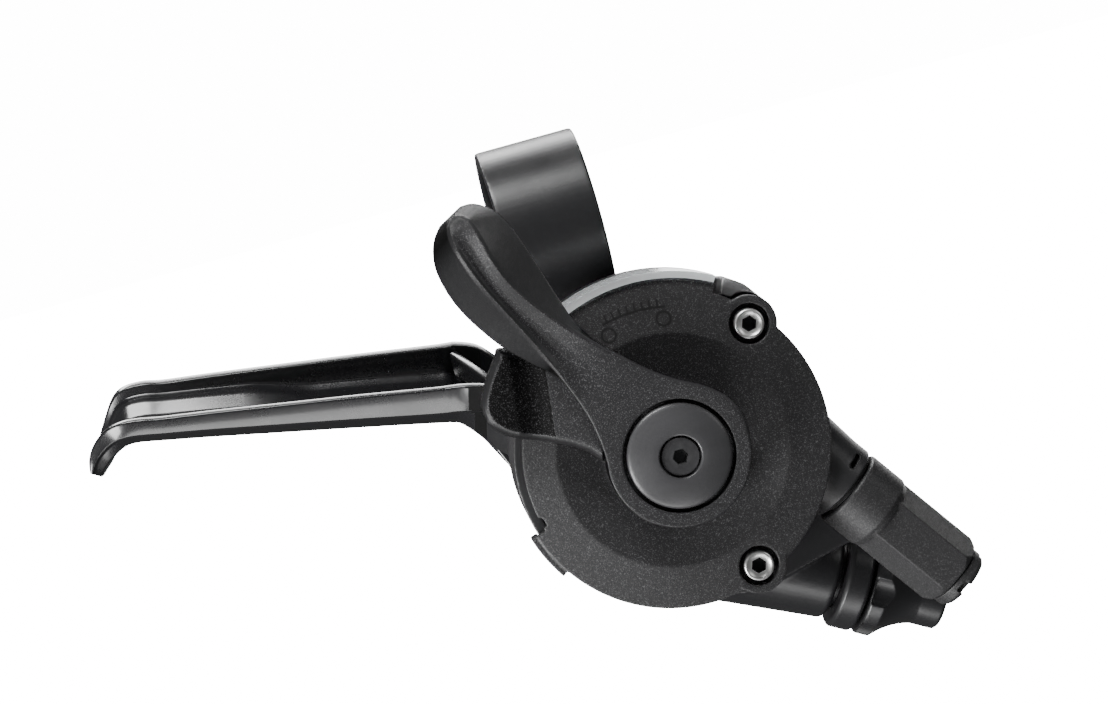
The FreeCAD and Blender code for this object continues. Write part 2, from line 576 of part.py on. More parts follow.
def base_plate():
    """Stamped floor plate that carries the axle and the holding pawl's pin."""
    body = new_body("base_plate")
    disc(body, "plate", (0, 0), "7.5", "pod_floor", "plate_thick")
    arm = [polar(5.0, 225), polar(19.0, 238), polar(19.0, 252), polar(5.0, 265)]
    slab(body, "arm", arm, "pod_floor", "plate_thick")
    disc(body, "axle_hole", (0, 0), "axle_radius", "pod_floor - 1", "4", cut=True)
    disc(body, "pin_hole", HOLD_PIN, "pawl_pin_radius", "pod_floor - 1", "4", cut=True)
    return body


def cable_spool():
    """Grooved drum that winds the gear cable, with a pocket for the cable's end."""
    body = new_body("cable_spool")
    back, front, radius = size("spool_back"), size("spool_front"), size("spool_radius")
    middle, bottom = size("cable_height"), size("cable_circle") - 0.8
    inner = size("axle_radius") + size("running_gap")
    turn(body, "drum", [(inner, back), (5.2, back), (5.2, back + 2.2), (9.8, back + 2.2),
                        (9.8, back), (radius, back), (radius, middle - 1.1), (bottom, middle - 0.4),
                        (bottom, middle + 0.4), (radius, middle + 1.1), (radius, front),
                        (inner, front)])
    disc(body, "end_pocket", polar(10.9, 200), "1.7", "cable_height - 0.8", "8", cut=True)
    return body


def ratchet_ring():
    """Steel ring with ramped teeth, fixed on the spool."""
    tip, root, count = size("ratchet_radius"), size("ratchet_radius") - 1.3, 18
    points = []
    for tooth in range(count):
        start = 360.0 / count * tooth
        points += [polar(root, start), polar(tip, start + 1.0), polar(tip - 0.05, start + 4.0)]
    body = new_body("ratchet_ring")
    slab(body, "teeth", points, "spool_front", "ratchet_front - spool_front")
    disc(body, "hole", (0, 0), "8.9", "spool_front - 1", "4", cut=True)
    return body


def indicator_flag():
    """Arm on the spool that shows the gear under the window."""
    body = new_body("indicator_flag")
    angle = 108.0
    arm = ring_sector(12.9, 21.4, angle - 3, angle + 3)
    slab(body, "arm", arm, "cable_height + 1.2", "1.0")
    slab(body, "flag", ring_sector(21.3, 23.6, angle - 3, angle + 3), "cable_height + 1.2", "5.2")
    return body


def spiral_strip(inner, pitch, half_turns, thick):
    """Outline of a flat spiral of half circles, whose centres change sides at every half turn."""
    edges = []
    for offset in (0.0, thick):
        run = []
        for step in range(half_turns):
            radius = inner + offset + pitch / 2 * step
            centre = (pitch / 4) * (1 if step % 2 else -1)
            side = -1 if step % 2 else 1
            start, end = Vector(centre + radius * side, 0, 0), Vector(centre - radius * side, 0, 0)
            run.append(Part.Arc(start, Vector(centre, radius * side, 0), end).toShape())
        edges.append(run)
    first, second = edges
    caps = [Part.makeLine(first[0].Vertexes[0].Point, second[0].Vertexes[0].Point),
            Part.makeLine(first[-1].Vertexes[-1].Point, second[-1].Vertexes[-1].Point)]
    return Part.Face(Part.Wire(Part.__sortEdges__(first + second + caps)))


def flat_spring(name, inner, pitch, half_turns, thick, low, high, turned):
    strip = spiral_strip(inner, pitch, half_turns, thick).extrude(Vector(0, 0, high - low))
    strip.rotate(Vector(0, 0, 0), Vector(0, 0, 1), turned)
    strip.translate(Vector(0, 0, low))
    return shape_piece(name, strip)


def springs():
    flat_spring("spool_spring", 5.9, 1.1, 6, 0.45, size("spool_back") + 0.2,
                size("spool_back") + 2.0, 40)
    flat_spring("lever_spring", 4.9, 0.9, 6, 0.4, size("spool_front") + 0.25,
                size("ratchet_front") - 0.1, 200)
    flat_spring("release_spring", 6.6, 0.9, 3, 0.4, size("cam_front") + 0.1,
                size("pod_front") - 0.1, 10)


PAWL_CIRCLE = 16.4
HOLD_PIN = polar(PAWL_CIRCLE, 245)
DRIVE_PIN = polar(PAWL_CIRCLE, 205)


def pawl_outline(pin_angle, lean):
    """A hooked pawl about its pin; lean is the way its nose points round the ratchet."""
    nose = size("ratchet_radius") + 0.2
    return [polar(PAWL_CIRCLE + 2.2, pin_angle), polar(PAWL_CIRCLE + 1.5, pin_angle + 8 * lean),
            polar(nose + 1.6, pin_angle + 24 * lean), polar(nose, pin_angle + 27 * lean),
            polar(nose, pin_angle + 22 * lean), polar(nose + 1.4, pin_angle + 6 * lean),
            polar(PAWL_CIRCLE - 2.2, pin_angle - 1 * lean), polar(PAWL_CIRCLE - 1, pin_angle - 8 * lean),
            polar(PAWL_CIRCLE + 1, pin_angle - 8 * lean)]


def pawl(name, pin_angle, lean):
    body = new_body(name)
    slab(body, "plate", pawl_outline(pin_angle, lean), "spool_front + 0.2", "1.0")
    disc(body, "hole", polar(PAWL_CIRCLE, pin_angle), "pawl_pin_radius + 0.06", "spool_front - 1", "4",
         cut=True)
    return body


def hold_pawl_pin():
    body = new_body("hold_pawl_pin")
    disc(body, "pin", HOLD_PIN, "pawl_pin_radius", "pod_floor", "ratchet_front - pod_floor + 0.15")
    return body


def drive_carrier():
    """Plate on the shift lever's sleeve that carries the driving pawl."""
    body = new_body("drive_carrier")
    disc(body, "ring", (0, 0), "7.5", "carrier_back", "carrier_front - carrier_back")
    arm = [polar(5.0, 180), polar(18.4, 196), polar(18.6, 214), polar(5.0, 232)]
    slab(body, "arm", arm, "carrier_back", "carrier_front - carrier_back")
    disc(body, "hole", (0, 0), "sleeve_radius", "carrier_back - 1", "4", cut=True)
    disc(body, "pin_hole", DRIVE_PIN, "pawl_pin_radius", "carrier_back - 1", "4", cut=True)
    return body


def drive_pawl_pin():
    body = new_body("drive_pawl_pin")
    disc(body, "pin", DRIVE_PIN, "pawl_pin_radius", "spool_front + 0.1",
         "carrier_front - spool_front - 0.1")
    return body


def release_cam():
    """Finger on the trigger's tube that lifts the holding pawl."""
    body = new_body("release_cam")
    disc(body, "ring", (0, 0), "8.6", "carrier_front + 0.3", "cam_front - carrier_front - 0.3")
    finger = [polar(7.0, 232), polar(14.6, 246), polar(14.6, 254), polar(7.0, 262)]
    slab(body, "finger", finger, "carrier_front + 0.3", "cam_front - carrier_front - 0.3")
    disc(body, "hole", (0, 0), "tube_radius", "carrier_front - 1", "5", cut=True)
    return body


def hub_washers():
    """Slip washer between the cover and the trigger."""
    inner = size("tube_radius") + 0.25
    lower = Part.makeCylinder(8.4, 1.7, Vector(0, 0, size("dish_front") + 0.1))
    lower = lower.cut(Part.makeCylinder(inner, 10, Vector(0, 0, 20)))
    return shape_piece("slip_washer", lower)


# ---------------------------------------------------------------- gear cable adjuster

def gear_adjuster_knob():
    """Hexagonal thumb nut with a round collar."""
    body = new_body("gear_adjuster_knob", GEAR)
    start, corner, flats = size("knob_start"), size("knob_radius"), size("hex_across_flats")
    face, tip = size("hex_start"), size("hex_end")
    turn(body, "collar", [(0, start), (corner - 0.3, start), (corner, start + 0.3),
                          (corner, face - 0.6), (corner - 0.6, face + 0.5), (0, face + 0.5)])
    slab(body, "hexagon", hexagon(flats, size("hex_turn")), "hex_start", "hex_end - hex_start")
    turn(body, "corners", [(corner - 0.9, tip + 1), (corner - 0.9, tip), (corner + 0.1, tip - 1.6),
                           (9.0, tip - 1.6), (9.0, tip + 1)], cut=True)
    slab(body, "mark", [(-0.2, -7.0), (0.9, -7.0), (0.9, -5.3), (-0.2, -5.3)], "hex_start - 1.6", "1.0",
         cut=True)
    disc(body, "bore", (0, 0), "seat_radius + 0.05", "knob_start - 1", "30", cut=True)
    return body


def gear_cable_seat():
    """Threaded tube that the knob screws in and out; its notched end takes the cable's casing."""
    body = new_body("gear_cable_seat", GEAR)
    radius, end, bore = size("seat_radius"), size("seat_end"), size("gear_housing_radius")
    turn(body, "tube", [(0.9, 18.5), (radius, 18.5), (radius, end - 2.1), (4.7, end - 2.1), (4.7, end - 0.6),
                        (4.1, end), (bore, end), (bore, end - 8.5), (0.9, end - 8.5)])
    for number in range(4):
        angle = 90 * number + 45
        notch = [polar(6.0, angle - 9), polar(6.0, angle + 9), polar(3.0, angle + 18),
                 polar(3.0, angle - 18)]
        slab(body, f"notch{number}", notch, "seat_end - 1.2", "3", cut=True)
    return body


def adjuster_ring():
    """Dark ring in the gap between the nose and the knob."""
    body = new_body("adjuster_ring", GEAR)
    turn(body, "ring", [(4.35, size("nose_end")), (4.9, size("nose_end")), (4.9, size("knob_start")),
                        (4.35, size("knob_start"))])
    return body


# ---------------------------------------------------------------- brake cable adjuster

def brake_adjuster():
    """Scalloped thumb wheel on a threaded stud, bored for the brake cable's casing."""
    body = new_body("brake_adjuster", BRAKE)
    start, radius, neck, end = (size("head_start"), size("head_radius"), size("head_neck_radius"),
                                size("head_end"))
    stud = size("stud_radius")
    turn(body, "profile", [(0, -11.5), (stud - 0.6, -11.5), (stud, -10.9), (stud, start),
                           (radius - 0.4, start), (radius, start + 0.4), (radius, start + 2.4),
                           (radius - 0.4, start + 2.8, -0.45), (neck, 13.6), (neck, end - 0.5),
                           (neck - 0.5, end), (0, end)])
    for number in range(6):
        spot = polar(radius + 1.9, 60 * number + 30)
        disc(body, f"flute{number}", spot, "3.1", "head_start + 0.2", "14", cut=True)
    disc(body, "casing_bore", (0, 0), "brake_housing_radius", "3.9", "20", cut=True)
    disc(body, "washer_pocket", (0, 0), "2.4", "3", "2", cut=True)
    disc(body, "cable_hole", (0, 0), "1.3", "-14", "20", cut=True)
    return body


def brake_lock_ring():
    body = new_body("brake_lock_ring", BRAKE)
    inner, radius = size("stud_radius") + 0.06, size("ring_radius")
    turn(body, "ring", [(inner, size("ring_start")), (radius - 0.5, size("ring_start")),
                        (radius, size("ring_start") + 0.5), (radius, size("ring_end") - 0.5),
                        (radius - 0.5, size("ring_end")), (inner, size("ring_end"))])
    return body


def brake_cable_seat():
    """Loose steel washer at the bottom of the adjuster's bore."""
    body = new_body("brake_cable_seat", BRAKE)
    turn(body, "washer", [(1.35, 3.05), (2.3, 3.05), (2.3, 3.8), (1.35, 3.8)])
    return body


def build():
    lever_bracket()
    clamp_bolt()
    pivot_bolt()
    pivot_nut()
    brake_lever()
    pivot_bushes()
    cable_anchor()
    rear_housing()
    pod_screws()
    front_cover()
    cover_screws()
    indicator_lens()
    shift_lever()
    release_lever()
    drive_sleeve()
    axle()
    hub_cap()
    hub_screw()
    base_plate()
    cable_spool()
    ratchet_ring()
    indicator_flag()
    springs()
    pawl("hold_pawl", 245, 1)
    pawl("drive_pawl", 205, -1)
    hold_pawl_pin()
    drive_carrier()
    drive_pawl_pin()
    release_cam()
    hub_washers()
    gear_adjuster_knob()
    gear_cable_seat()
    adjuster_ring()
    brake_adjuster()
    brake_lock_ring()
    brake_cable_seat()


def check_and_write():
    doc.recompute()
    for item in doc.Objects:
        if "Invalid" in item.State or "Error" in item.State:
            raise RuntimeError(f"{item.Name} did not compute: {item.State}")
    for piece in PIECES:
        shape = piece.Shape
        if shape.isNull() or not shape.isValid() or shape.Volume <= 0:
            raise RuntimeError(f"{piece.Label} has no sound shape")
        print(f"{piece.Label:22s} solids {len(shape.Solids)} volume {shape.Volume:9.1f}")
        shape.exportStep(f"parts/{piece.Label}.step")


build()
check_and_write()
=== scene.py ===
import json
import math
import bmesh
import bpy
from mathutils import Matrix, Vector


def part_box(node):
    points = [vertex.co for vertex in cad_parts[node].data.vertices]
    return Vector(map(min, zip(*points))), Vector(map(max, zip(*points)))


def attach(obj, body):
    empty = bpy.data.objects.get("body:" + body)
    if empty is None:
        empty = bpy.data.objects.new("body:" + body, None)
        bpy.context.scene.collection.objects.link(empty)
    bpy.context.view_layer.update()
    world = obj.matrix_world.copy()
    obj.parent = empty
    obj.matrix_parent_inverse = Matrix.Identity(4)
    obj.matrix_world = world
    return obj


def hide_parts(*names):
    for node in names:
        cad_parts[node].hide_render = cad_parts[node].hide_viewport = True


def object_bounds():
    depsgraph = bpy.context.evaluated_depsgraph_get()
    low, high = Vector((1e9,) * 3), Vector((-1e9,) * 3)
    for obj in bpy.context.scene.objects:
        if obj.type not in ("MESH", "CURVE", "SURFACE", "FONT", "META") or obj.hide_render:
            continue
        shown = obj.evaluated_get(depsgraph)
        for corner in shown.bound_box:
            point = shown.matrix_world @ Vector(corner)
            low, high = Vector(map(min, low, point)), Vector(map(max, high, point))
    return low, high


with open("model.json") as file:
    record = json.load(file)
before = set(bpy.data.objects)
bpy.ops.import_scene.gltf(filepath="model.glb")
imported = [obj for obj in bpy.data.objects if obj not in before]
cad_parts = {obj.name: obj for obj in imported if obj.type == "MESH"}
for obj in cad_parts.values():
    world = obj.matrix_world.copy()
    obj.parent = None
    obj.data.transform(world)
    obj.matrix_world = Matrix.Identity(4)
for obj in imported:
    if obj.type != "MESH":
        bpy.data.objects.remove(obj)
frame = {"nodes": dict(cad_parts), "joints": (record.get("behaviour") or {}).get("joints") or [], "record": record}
cad_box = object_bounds()
nodes = frame["nodes"]
joints = {joint["name"]: joint for joint in frame["joints"]}
MM = 0.001
HUB = Vector(joints["shift_lever_push"]["pos_m"])  # the axis that both thumb levers turn on
FRONT = (0, -1, 0)


# ------------------------------------------------------------------ camera, light, floor

CAMERA_SPOT = (-0.02679, -0.40227, 0.01963)
CAMERA_RIGHT = (0.96077, -0.07998, -0.26556)
CAMERA_UP = (0.27150, 0.07568, 0.95946)
CAMERA_BACK = (-0.05664, -0.99392, 0.09443)
FOCAL_LENGTH = 86.43  # mm, on a film 36 mm wide
FILM_WIDTH = 36.0

ROOM_LIGHT = 0.09  # what the white room adds on the object
WHITE_TO_THE_EYE = 19.0  # how bright the room and the floor look to the camera
OBJECT_MIDDLE = (0.0, -0.01, -0.02)
LIGHTS = [  # name, place, width and height, watts, aim
    ("key", (-0.14, -0.24, 0.50), (0.34, 0.16), 4.5, OBJECT_MIDDLE),
    ("left", (-0.44, -0.24, -0.20), (0.26, 0.22), 5.0, OBJECT_MIDDLE),
    ("rim", (0.0, 0.34, 0.34), (0.60, 0.14), 4.0, OBJECT_MIDDLE),
    ("right", (0.50, -0.30, 0.16), (0.16, 0.26), 0.4, OBJECT_MIDDLE),
    ("low", (-0.13, -0.27, -0.44), (0.40, 0.16), 1.2, (-0.05, -0.01, -0.01)),
    ("back", (0.26, 0.46, -0.04), (0.40, 0.30), 1.1, OBJECT_MIDDLE),
    ("channel", (0.02, 0.29, 0.45), (0.22, 0.13), 0.3, (-0.06, 0.0, -0.01))]

FLOOR_DROP = 0.025  # m below the object
FLOOR_RADIUS = 4.0


def place_camera():
    data = bpy.data.cameras.new("camera")
    data.lens = FOCAL_LENGTH
    data.sensor_width = FILM_WIDTH
    data.clip_start = 0.01
    view = bpy.data.objects.new("camera", data)
    bpy.context.scene.collection.objects.link(view)
    turn = Matrix((CAMERA_RIGHT, CAMERA_UP, CAMERA_BACK)).transposed().to_4x4()
    view.matrix_world = Matrix.Translation(CAMERA_SPOT) @ turn
    bpy.context.scene.camera = view


def soft_light(name, spot, size, watts, target):
    data = bpy.data.lights.new(name, "AREA")
    data.shape = "RECTANGLE"
    data.size, data.size_y = size
    data.energy = watts
    lamp = bpy.data.objects.new(name, data)
    bpy.context.scene.collection.objects.link(lamp)
    lamp.location = spot
    lamp.rotation_euler = (Vector(target) - Vector(spot)).to_track_quat("-Z", "Y").to_euler()


def studio():
    """A white room to the eye, and a dim one with soft boxes to the object."""
    world = bpy.data.worlds.new("studio")
    bpy.context.scene.world = world
    world.use_nodes = True
    tree = world.node_tree
    dim = tree.nodes["Background"]
    dim.inputs["Color"].default_value = (1.0, 1.0, 1.0, 1.0)
    dim.inputs["Strength"].default_value = ROOM_LIGHT
    bright = tree.nodes.new("ShaderNodeBackground")
    bright.inputs["Strength"].default_value = WHITE_TO_THE_EYE
    ray = tree.nodes.new("ShaderNodeLightPath")
    pick = tree.nodes.new("ShaderNodeMixShader")
    tree.links.new(ray.outputs["Is Camera Ray"], pick.inputs["Fac"])
    tree.links.new(dim.outputs["Background"], pick.inputs[1])
    tree.links.new(bright.outputs["Background"], pick.inputs[2])
    tree.links.new(pick.outputs["Shader"], tree.nodes["World Output"].inputs["Surface"])
    for light in LIGHTS:
        soft_light(*light)


def floor():
    """A wide white floor that throws no light of its own back."""
    low = cad_box[0][2] - FLOOR_DROP
    rim = [(FLOOR_RADIUS * math.cos(math.radians(a)), FLOOR_RADIUS * math.sin(math.radians(a)), low)
           for a in range(0, 360, 6)]
    mesh = bpy.data.meshes.new("floor")
    mesh.from_pydata(rim, [], [tuple(range(len(rim)))])
    paper = bpy.data.materials.new("paper")
    paper.use_nodes = True
    shader = paper.node_tree.nodes["Principled BSDF"]
    shader.inputs["Base Color"].default_value = (0.04, 0.04, 0.04, 1)
    shader.inputs["Roughness"].default_value = 0.9
    shader.inputs["Emission Color"].default_value = (1.0, 1.0, 1.0, 1.0)
    shader.inputs["Emission Strength"].default_value = WHITE_TO_THE_EYE
    mesh.materials.append(paper)
    sheet = bpy.data.objects.new("floor", mesh)
    bpy.context.scene.collection.objects.link(sheet)
    sheet.visible_diffuse = False
    sheet.visible_glossy = False
    sheet.visible_shadow = False


place_camera()
studio()
floor()


# ------------------------------------------------------------------ places and numbers

def pod(x, y, f):
    """A point given in millimetres from the shifter's axis: right, up, and forwards of the bar."""
    return Vector((HUB.x + x * MM, -f * MM, HUB.z + y * MM))


def pod_place(point):
    """The same three numbers, read back from a point."""
    return (point.x - HUB.x) / MM, (point.z - HUB.z) / MM, -point.y / MM


HUB_AXIS = pod(0, 0, 0)


def polar(radius, degrees):
    return radius * math.cos(math.radians(degrees)), radius * math.sin(math.radians(degrees))


def arc(x, y, radius, start, end, step):
    """Points round a centre, from one angle up or down to another."""
    return [(x + radius * math.cos(math.radians(a)), y + radius * math.sin(math.radians(a)))
            for a in range(start, end, step)]


def fade(value):
    """The value held between 0 and 1."""
    return max(0.0, min(1.0, value))


def tinted(colour, factor):
    return tuple(min(1.0, factor * c) for c in colour)


# ------------------------------------------------------------------ mesh helpers

def mesh_piece(name, verts, faces):
    mesh = bpy.data.meshes.new(name)
    mesh.from_pydata([tuple(v) for v in verts], [], faces)
    mesh.update()
    piece = bpy.data.objects.new(name, mesh)
    bpy.context.scene.collection.objects.link(piece)
    outward = bmesh.new()
    outward.from_mesh(mesh)
    bmesh.ops.recalc_face_normals(outward, faces=outward.faces)
    outward.to_mesh(mesh)
    outward.free()
    return piece


def loft(name, rings):
    """A closed skin over rings of equally many points."""
    count = len(rings[0])
    verts = [v for ring in rings for v in ring]
    faces = [tuple(range(count)), tuple(reversed(range((len(rings) - 1) * count, len(verts))))]
    for k in range(len(rings) - 1):
        for i in range(count):
            j = (i + 1) % count
            faces.append((k * count + i, (k + 1) * count + i, (k + 1) * count + j, k * count + j))
    return mesh_piece(name, verts, faces)


def prism(name, outline, back, front):
    return loft(name, [[pod(x, y, f) for x, y in outline] for f in (back, front)])


def lathe(name, profile, origin=HUB_AXIS, steps=96):
    """A solid turned about an axis along the front; the profile is a run of (radius, forwards)."""
    axis = Vector(FRONT)
    side = axis.orthogonal().normalized()
    other = axis.cross(side)
    verts = []
    for k in range(steps):
        turn = 2 * math.pi * k / steps
        out = side * math.cos(turn) + other * math.sin(turn)
        verts += [origin + out * (r * MM) + axis * (f * MM) for r, f in profile]
    count, faces = len(profile), []
    for k in range(steps):
        n = (k + 1) % steps
        for i in range(count):
            j = (i + 1) % count
            faces.append((k * count + i, k * count + j, n * count + j, n * count + i))
    piece = mesh_piece(name, verts, faces)
    weld = bmesh.new()
    weld.from_mesh(piece.data)
    bmesh.ops.remove_doubles(weld, verts=weld.verts, dist=1e-7)
    bmesh.ops.recalc_face_normals(weld, faces=weld.faces)
    weld.to_mesh(piece.data)
    weld.free()
    return piece


def plug(name, radius, back, front, origin=HUB_AXIS, steps=96):
    """A plain round bar, for cutting holes."""
    return lathe(name, [(0, back), (radius, back), (radius, front), (0, front)], origin, steps)


def rounded(profile, radius, steps=4, everywhere=False):
    """The closed profile with its corners rounded off, except on a turning axis."""
    out = []
    for k, here in enumerate(profile):
        before, after = Vector(profile[k - 1]), Vector(profile[(k + 1) % len(profile)])
        here = Vector(here)
        reach = min(radius, (before - here).length * 0.45, (after - here).length * 0.45)
        start = here + (before - here).normalized() * reach
        end = here + (after - here).normalized() * reach
        if here.x < 0.01 and not everywhere:
            out.append(tuple(here))
            continue
        for step in range(steps + 1):
            t = step / steps
            out.append(tuple(start * (1 - t) ** 2 + here * 2 * t * (1 - t) + end * t ** 2))
    return out


def along_curve(stations, count):
    """Rows of numbers on a smooth curve through the stations, count steps from end to end."""
    out = []
    for k in range(count + 1):
        place = (len(stations) - 1) * k / count
        i = min(int(place), len(stations) - 2)
        t = place - i
        a = stations[max(i - 1, 0)]
        b, c = stations[i], stations[i + 1]
        d = stations[min(i + 2, len(stations) - 1)]
        out.append([0.5 * (2 * q + (r - p) * t + (2 * p - 5 * q + 4 * r - s) * t * t
                           + (3 * q - p - 3 * r + s) * t ** 3) for p, q, r, s in zip(a, b, c, d)])
    return out


def bake(piece):
    """Makes what the modifiers show into the piece's own mesh."""
    graph = bpy.context.evaluated_depsgraph_get()
    mesh = bpy.data.meshes.new_from_object(piece.evaluated_get(graph))
    piece.modifiers.clear()
    piece.data = mesh


def carve(piece, *tools):
    for tool in tools:
        cut = piece.modifiers.new("cut", "BOOLEAN")
        cut.operation = "DIFFERENCE"
        cut.solver = "EXACT"
        cut.object = tool
    bake(piece)
    for tool in tools:
        bpy.data.objects.remove(tool)


def bevel(piece, width):
    edge = piece.modifiers.new("edge", "BEVEL")
    edge.width = width * MM
    edge.segments = 3
    edge.limit_method = "ANGLE"
    bake(piece)


def soften(piece, degrees):
    """Smooth shading, with an edge left crisp wherever faces meet at more than the given angle."""
    for face in piece.data.polygons:
        face.use_smooth = True
    piece.data.set_sharp_from_angle(angle=math.radians(degrees))


def joined(name, sources):
    """One new object that holds copies of all the meshes."""
    whole = bmesh.new()
    for source in sources:
        whole.from_mesh(source.data)
    mesh = bpy.data.meshes.new(name)
    whole.to_mesh(mesh)
    whole.free()
    piece = bpy.data.objects.new(name, mesh)
    bpy.context.scene.collection.objects.link(piece)
    return piece


def clear_away(pieces):
    """Removes building pieces, and leaves the CAD's own."""
    for piece in pieces:
        if piece.name not in nodes:
            bpy.data.objects.remove(piece)


def join(name, pieces):
    piece = joined(name, pieces)
    clear_away(pieces)
    return piece


def melt(name, sources, voxel, passes, keep=0.4):
    """Joins solids into one skin with softly rounded edges, as a casting or moulding has."""
    piece = joined(name, sources)
    skin = piece.modifiers.new("skin", "REMESH")
    skin.mode = "VOXEL"
    skin.voxel_size = voxel * MM
    soft = piece.modifiers.new("soft", "SMOOTH")
    soft.factor = 0.5
    soft.iterations = passes
    thin = piece.modifiers.new("thin", "DECIMATE")
    thin.ratio = keep
    bake(piece)
    for face in piece.data.polygons:
        face.use_smooth = True
    clear_away(sources)
    return piece


# ------------------------------------------------------------------ materials

class Paint:
    """A node material whose helpers read like sentences."""

    def __init__(self, name, colour, roughness, metallic=0.0, **sockets):
        self.material = bpy.data.materials.new(name)
        self.material.use_nodes = True
        self.tree = self.material.node_tree
        self.shader = self.tree.nodes["Principled BSDF"]
        self.shader.inputs["Base Color"].default_value = (*colour, 1)
        self.shader.inputs["Roughness"].default_value = roughness
        self.shader.inputs["Metallic"].default_value = metallic
        for socket, value in sockets.items():
            self.shader.inputs[socket.replace("_", " ")].default_value = value
        self.where = self.tree.nodes.new("ShaderNodeTexCoord")
        self.normal = None

    def noise(self, scale, detail=2.0, stretch=None, rough=0.5):
        place = self.where.outputs["Object"]
        if stretch:
            mapping = self.tree.nodes.new("ShaderNodeMapping")
            mapping.inputs["Scale"].default_value = stretch
            self.tree.links.new(place, mapping.inputs["Vector"])
            place = mapping.outputs["Vector"]
        node = self.tree.nodes.new("ShaderNodeTexNoise")
        node.inputs["Scale"].default_value = scale
        node.inputs["Detail"].default_value = detail
        node.inputs["Roughness"].default_value = rough
        self.tree.links.new(place, node.inputs["Vector"])
        return node.outputs["Fac"]

    def facing(self, axis, sign):
        """1 where the surface faces straight along an axis, 0 or less where it doesn't."""
        split = self.tree.nodes.new("ShaderNodeSeparateXYZ")
        self.tree.links.new(self.where.outputs["Normal"], split.inputs[0])
        times = self.tree.nodes.new("ShaderNodeMath")
        times.operation = "MULTIPLY"
        times.inputs[1].default_value = sign
        self.tree.links.new(split.outputs[axis], times.inputs[0])
        return times.outputs["Value"]

    def ramp(self, value, stops):
        """Each stop is a place from 0 to 1 and a colour or a plain number."""
        node = self.tree.nodes.new("ShaderNodeValToRGB")
        points = node.color_ramp.elements
        while len(points) < len(stops):
            points.new(0.5)
        for point, (place, colour) in zip(points, stops):
            if not isinstance(colour, tuple):
                colour = (colour,) * 3
            point.position = place
            point.color = (*colour, 1)
        self.tree.links.new(value, node.inputs["Fac"])
        return node.outputs["Color"]

    def mix(self, a, b, factor, blend="MIX"):
        node = self.tree.nodes.new("ShaderNodeMix")
        node.data_type = "RGBA"
        node.blend_type = blend
        if isinstance(factor, float):
            node.inputs["Factor"].default_value = factor
        else:
            self.tree.links.new(factor, node.inputs["Factor"])
        for value, socket in ((a, node.inputs[6]), (b, node.inputs[7])):
            if isinstance(value, tuple):
                socket.default_value = (*value, 1)
            else:
                self.tree.links.new(value, socket)
        return node.outputs[2]

    def bump(self, height, depth, strength=1.0):
        node = self.tree.nodes.new("ShaderNodeBump")
        node.inputs["Distance"].default_value = depth * MM
        node.inputs["Strength"].default_value = strength
        self.tree.links.new(height, node.inputs["Height"])
        if self.normal:
            self.tree.links.new(self.normal, node.inputs["Normal"])
        self.normal = node.outputs["Normal"]
        self.tree.links.new(self.normal, self.shader.inputs["Normal"])

    def set(self, socket, value):
        self.tree.links.new(value, self.shader.inputs[socket])


def moulded_plastic(name, base, glint_colour, rough=0.5, specular=0.5, steep=0.0):
    """Black nylon from a spark-eroded mould: a fine even grain, with bright specks painted into the colour as
    glints of the eroded texture.

    With steep above 0, faces that lean further than that from the front are smooth and satin, with painted light
    and shade by side: painted lighter where they turn to the right and darker where they turn away from it.
    Upright walls are painted nearly black, as painted shade.
    """
    paint = Paint(name, base, rough, Specular_IOR_Level=specular)
    grain = paint.noise(3600.0, 3.0, rough=0.7)
    specks = paint.noise(6400.0, 1.0)
    cloud = paint.noise(90.0, 2.0)
    coarse = paint.ramp(grain, [(0.35, tinted(base, 0.70)), (0.62, base)])
    # painted glints: the bright specks stand in for glints off the eroded texture
    coarse = paint.mix(coarse, glint_colour, paint.ramp(specks, [(0.57, 0.0), (0.68, 1.0)]))
    polish = paint.ramp(grain, [(0.3, rough + 0.14), (0.7, rough - 0.10)])
    if steep:
        lean, right = paint.facing("Y", -1.0), paint.facing("X", 1.0)
        flat = paint.ramp(lean, [(steep - 0.06, 0.0), (steep, 1.0)])
        # painted shade: upright walls are painted nearly black, with a low specular level, for the shade in the
        # gaps beside them
        wall = paint.ramp(lean, [(0.34, 0.0), (0.50, 1.0)])
        # painted light and shade by side: leaning faces turned to the right are painted lighter and given more
        # specular, the others darker
        side = paint.ramp(right, [(0.0, tinted(base, 0.8)), (0.3, tinted(base, 1.7))])
        coarse = paint.mix((0.002,) * 3, paint.mix(side, coarse, flat), wall)
        polish = paint.mix((rough - 0.06,) * 3, polish, flat)
        shine = paint.mix(paint.ramp(right, [(0.0, 0.22), (0.3, 0.5)]), (0.5,) * 3, flat)
        paint.set("Specular IOR Level", paint.mix((0.08,) * 3, shine, wall))
    patchy = paint.ramp(cloud, [(0.3, 0.86), (0.7, 1.0)])
    paint.set("Base Color", paint.mix(coarse, patchy, 1.0, "MULTIPLY"))
    paint.set("Roughness", polish)
    paint.bump(grain, 0.07, 0.6)
    return paint.material


def cast_metal(name, base, rough, grain_depth=0.015, coat=0.0, specular=0.55):
    """Painted or anodised casting: faint orange peel, slight rub marks."""
    paint = Paint(name, base, rough, Specular_IOR_Level=specular, Coat_Weight=coat,
                  Coat_Roughness=0.12)
    peel = paint.noise(900.0, 2.0)
    fine = paint.noise(5200.0, 2.0)
    rub = paint.noise(160.0, 4.0, rough=0.7)
    paint.set("Base Color", paint.ramp(rub, [(0.35, base), (0.75, tinted(base, 1.35))]))
    paint.set("Roughness", paint.ramp(rub, [(0.3, rough + 0.05), (0.7, rough - 0.05)]))
    paint.bump(fine, grain_depth, 0.5)
    paint.bump(peel, grain_depth, 0.3)
    return paint.material


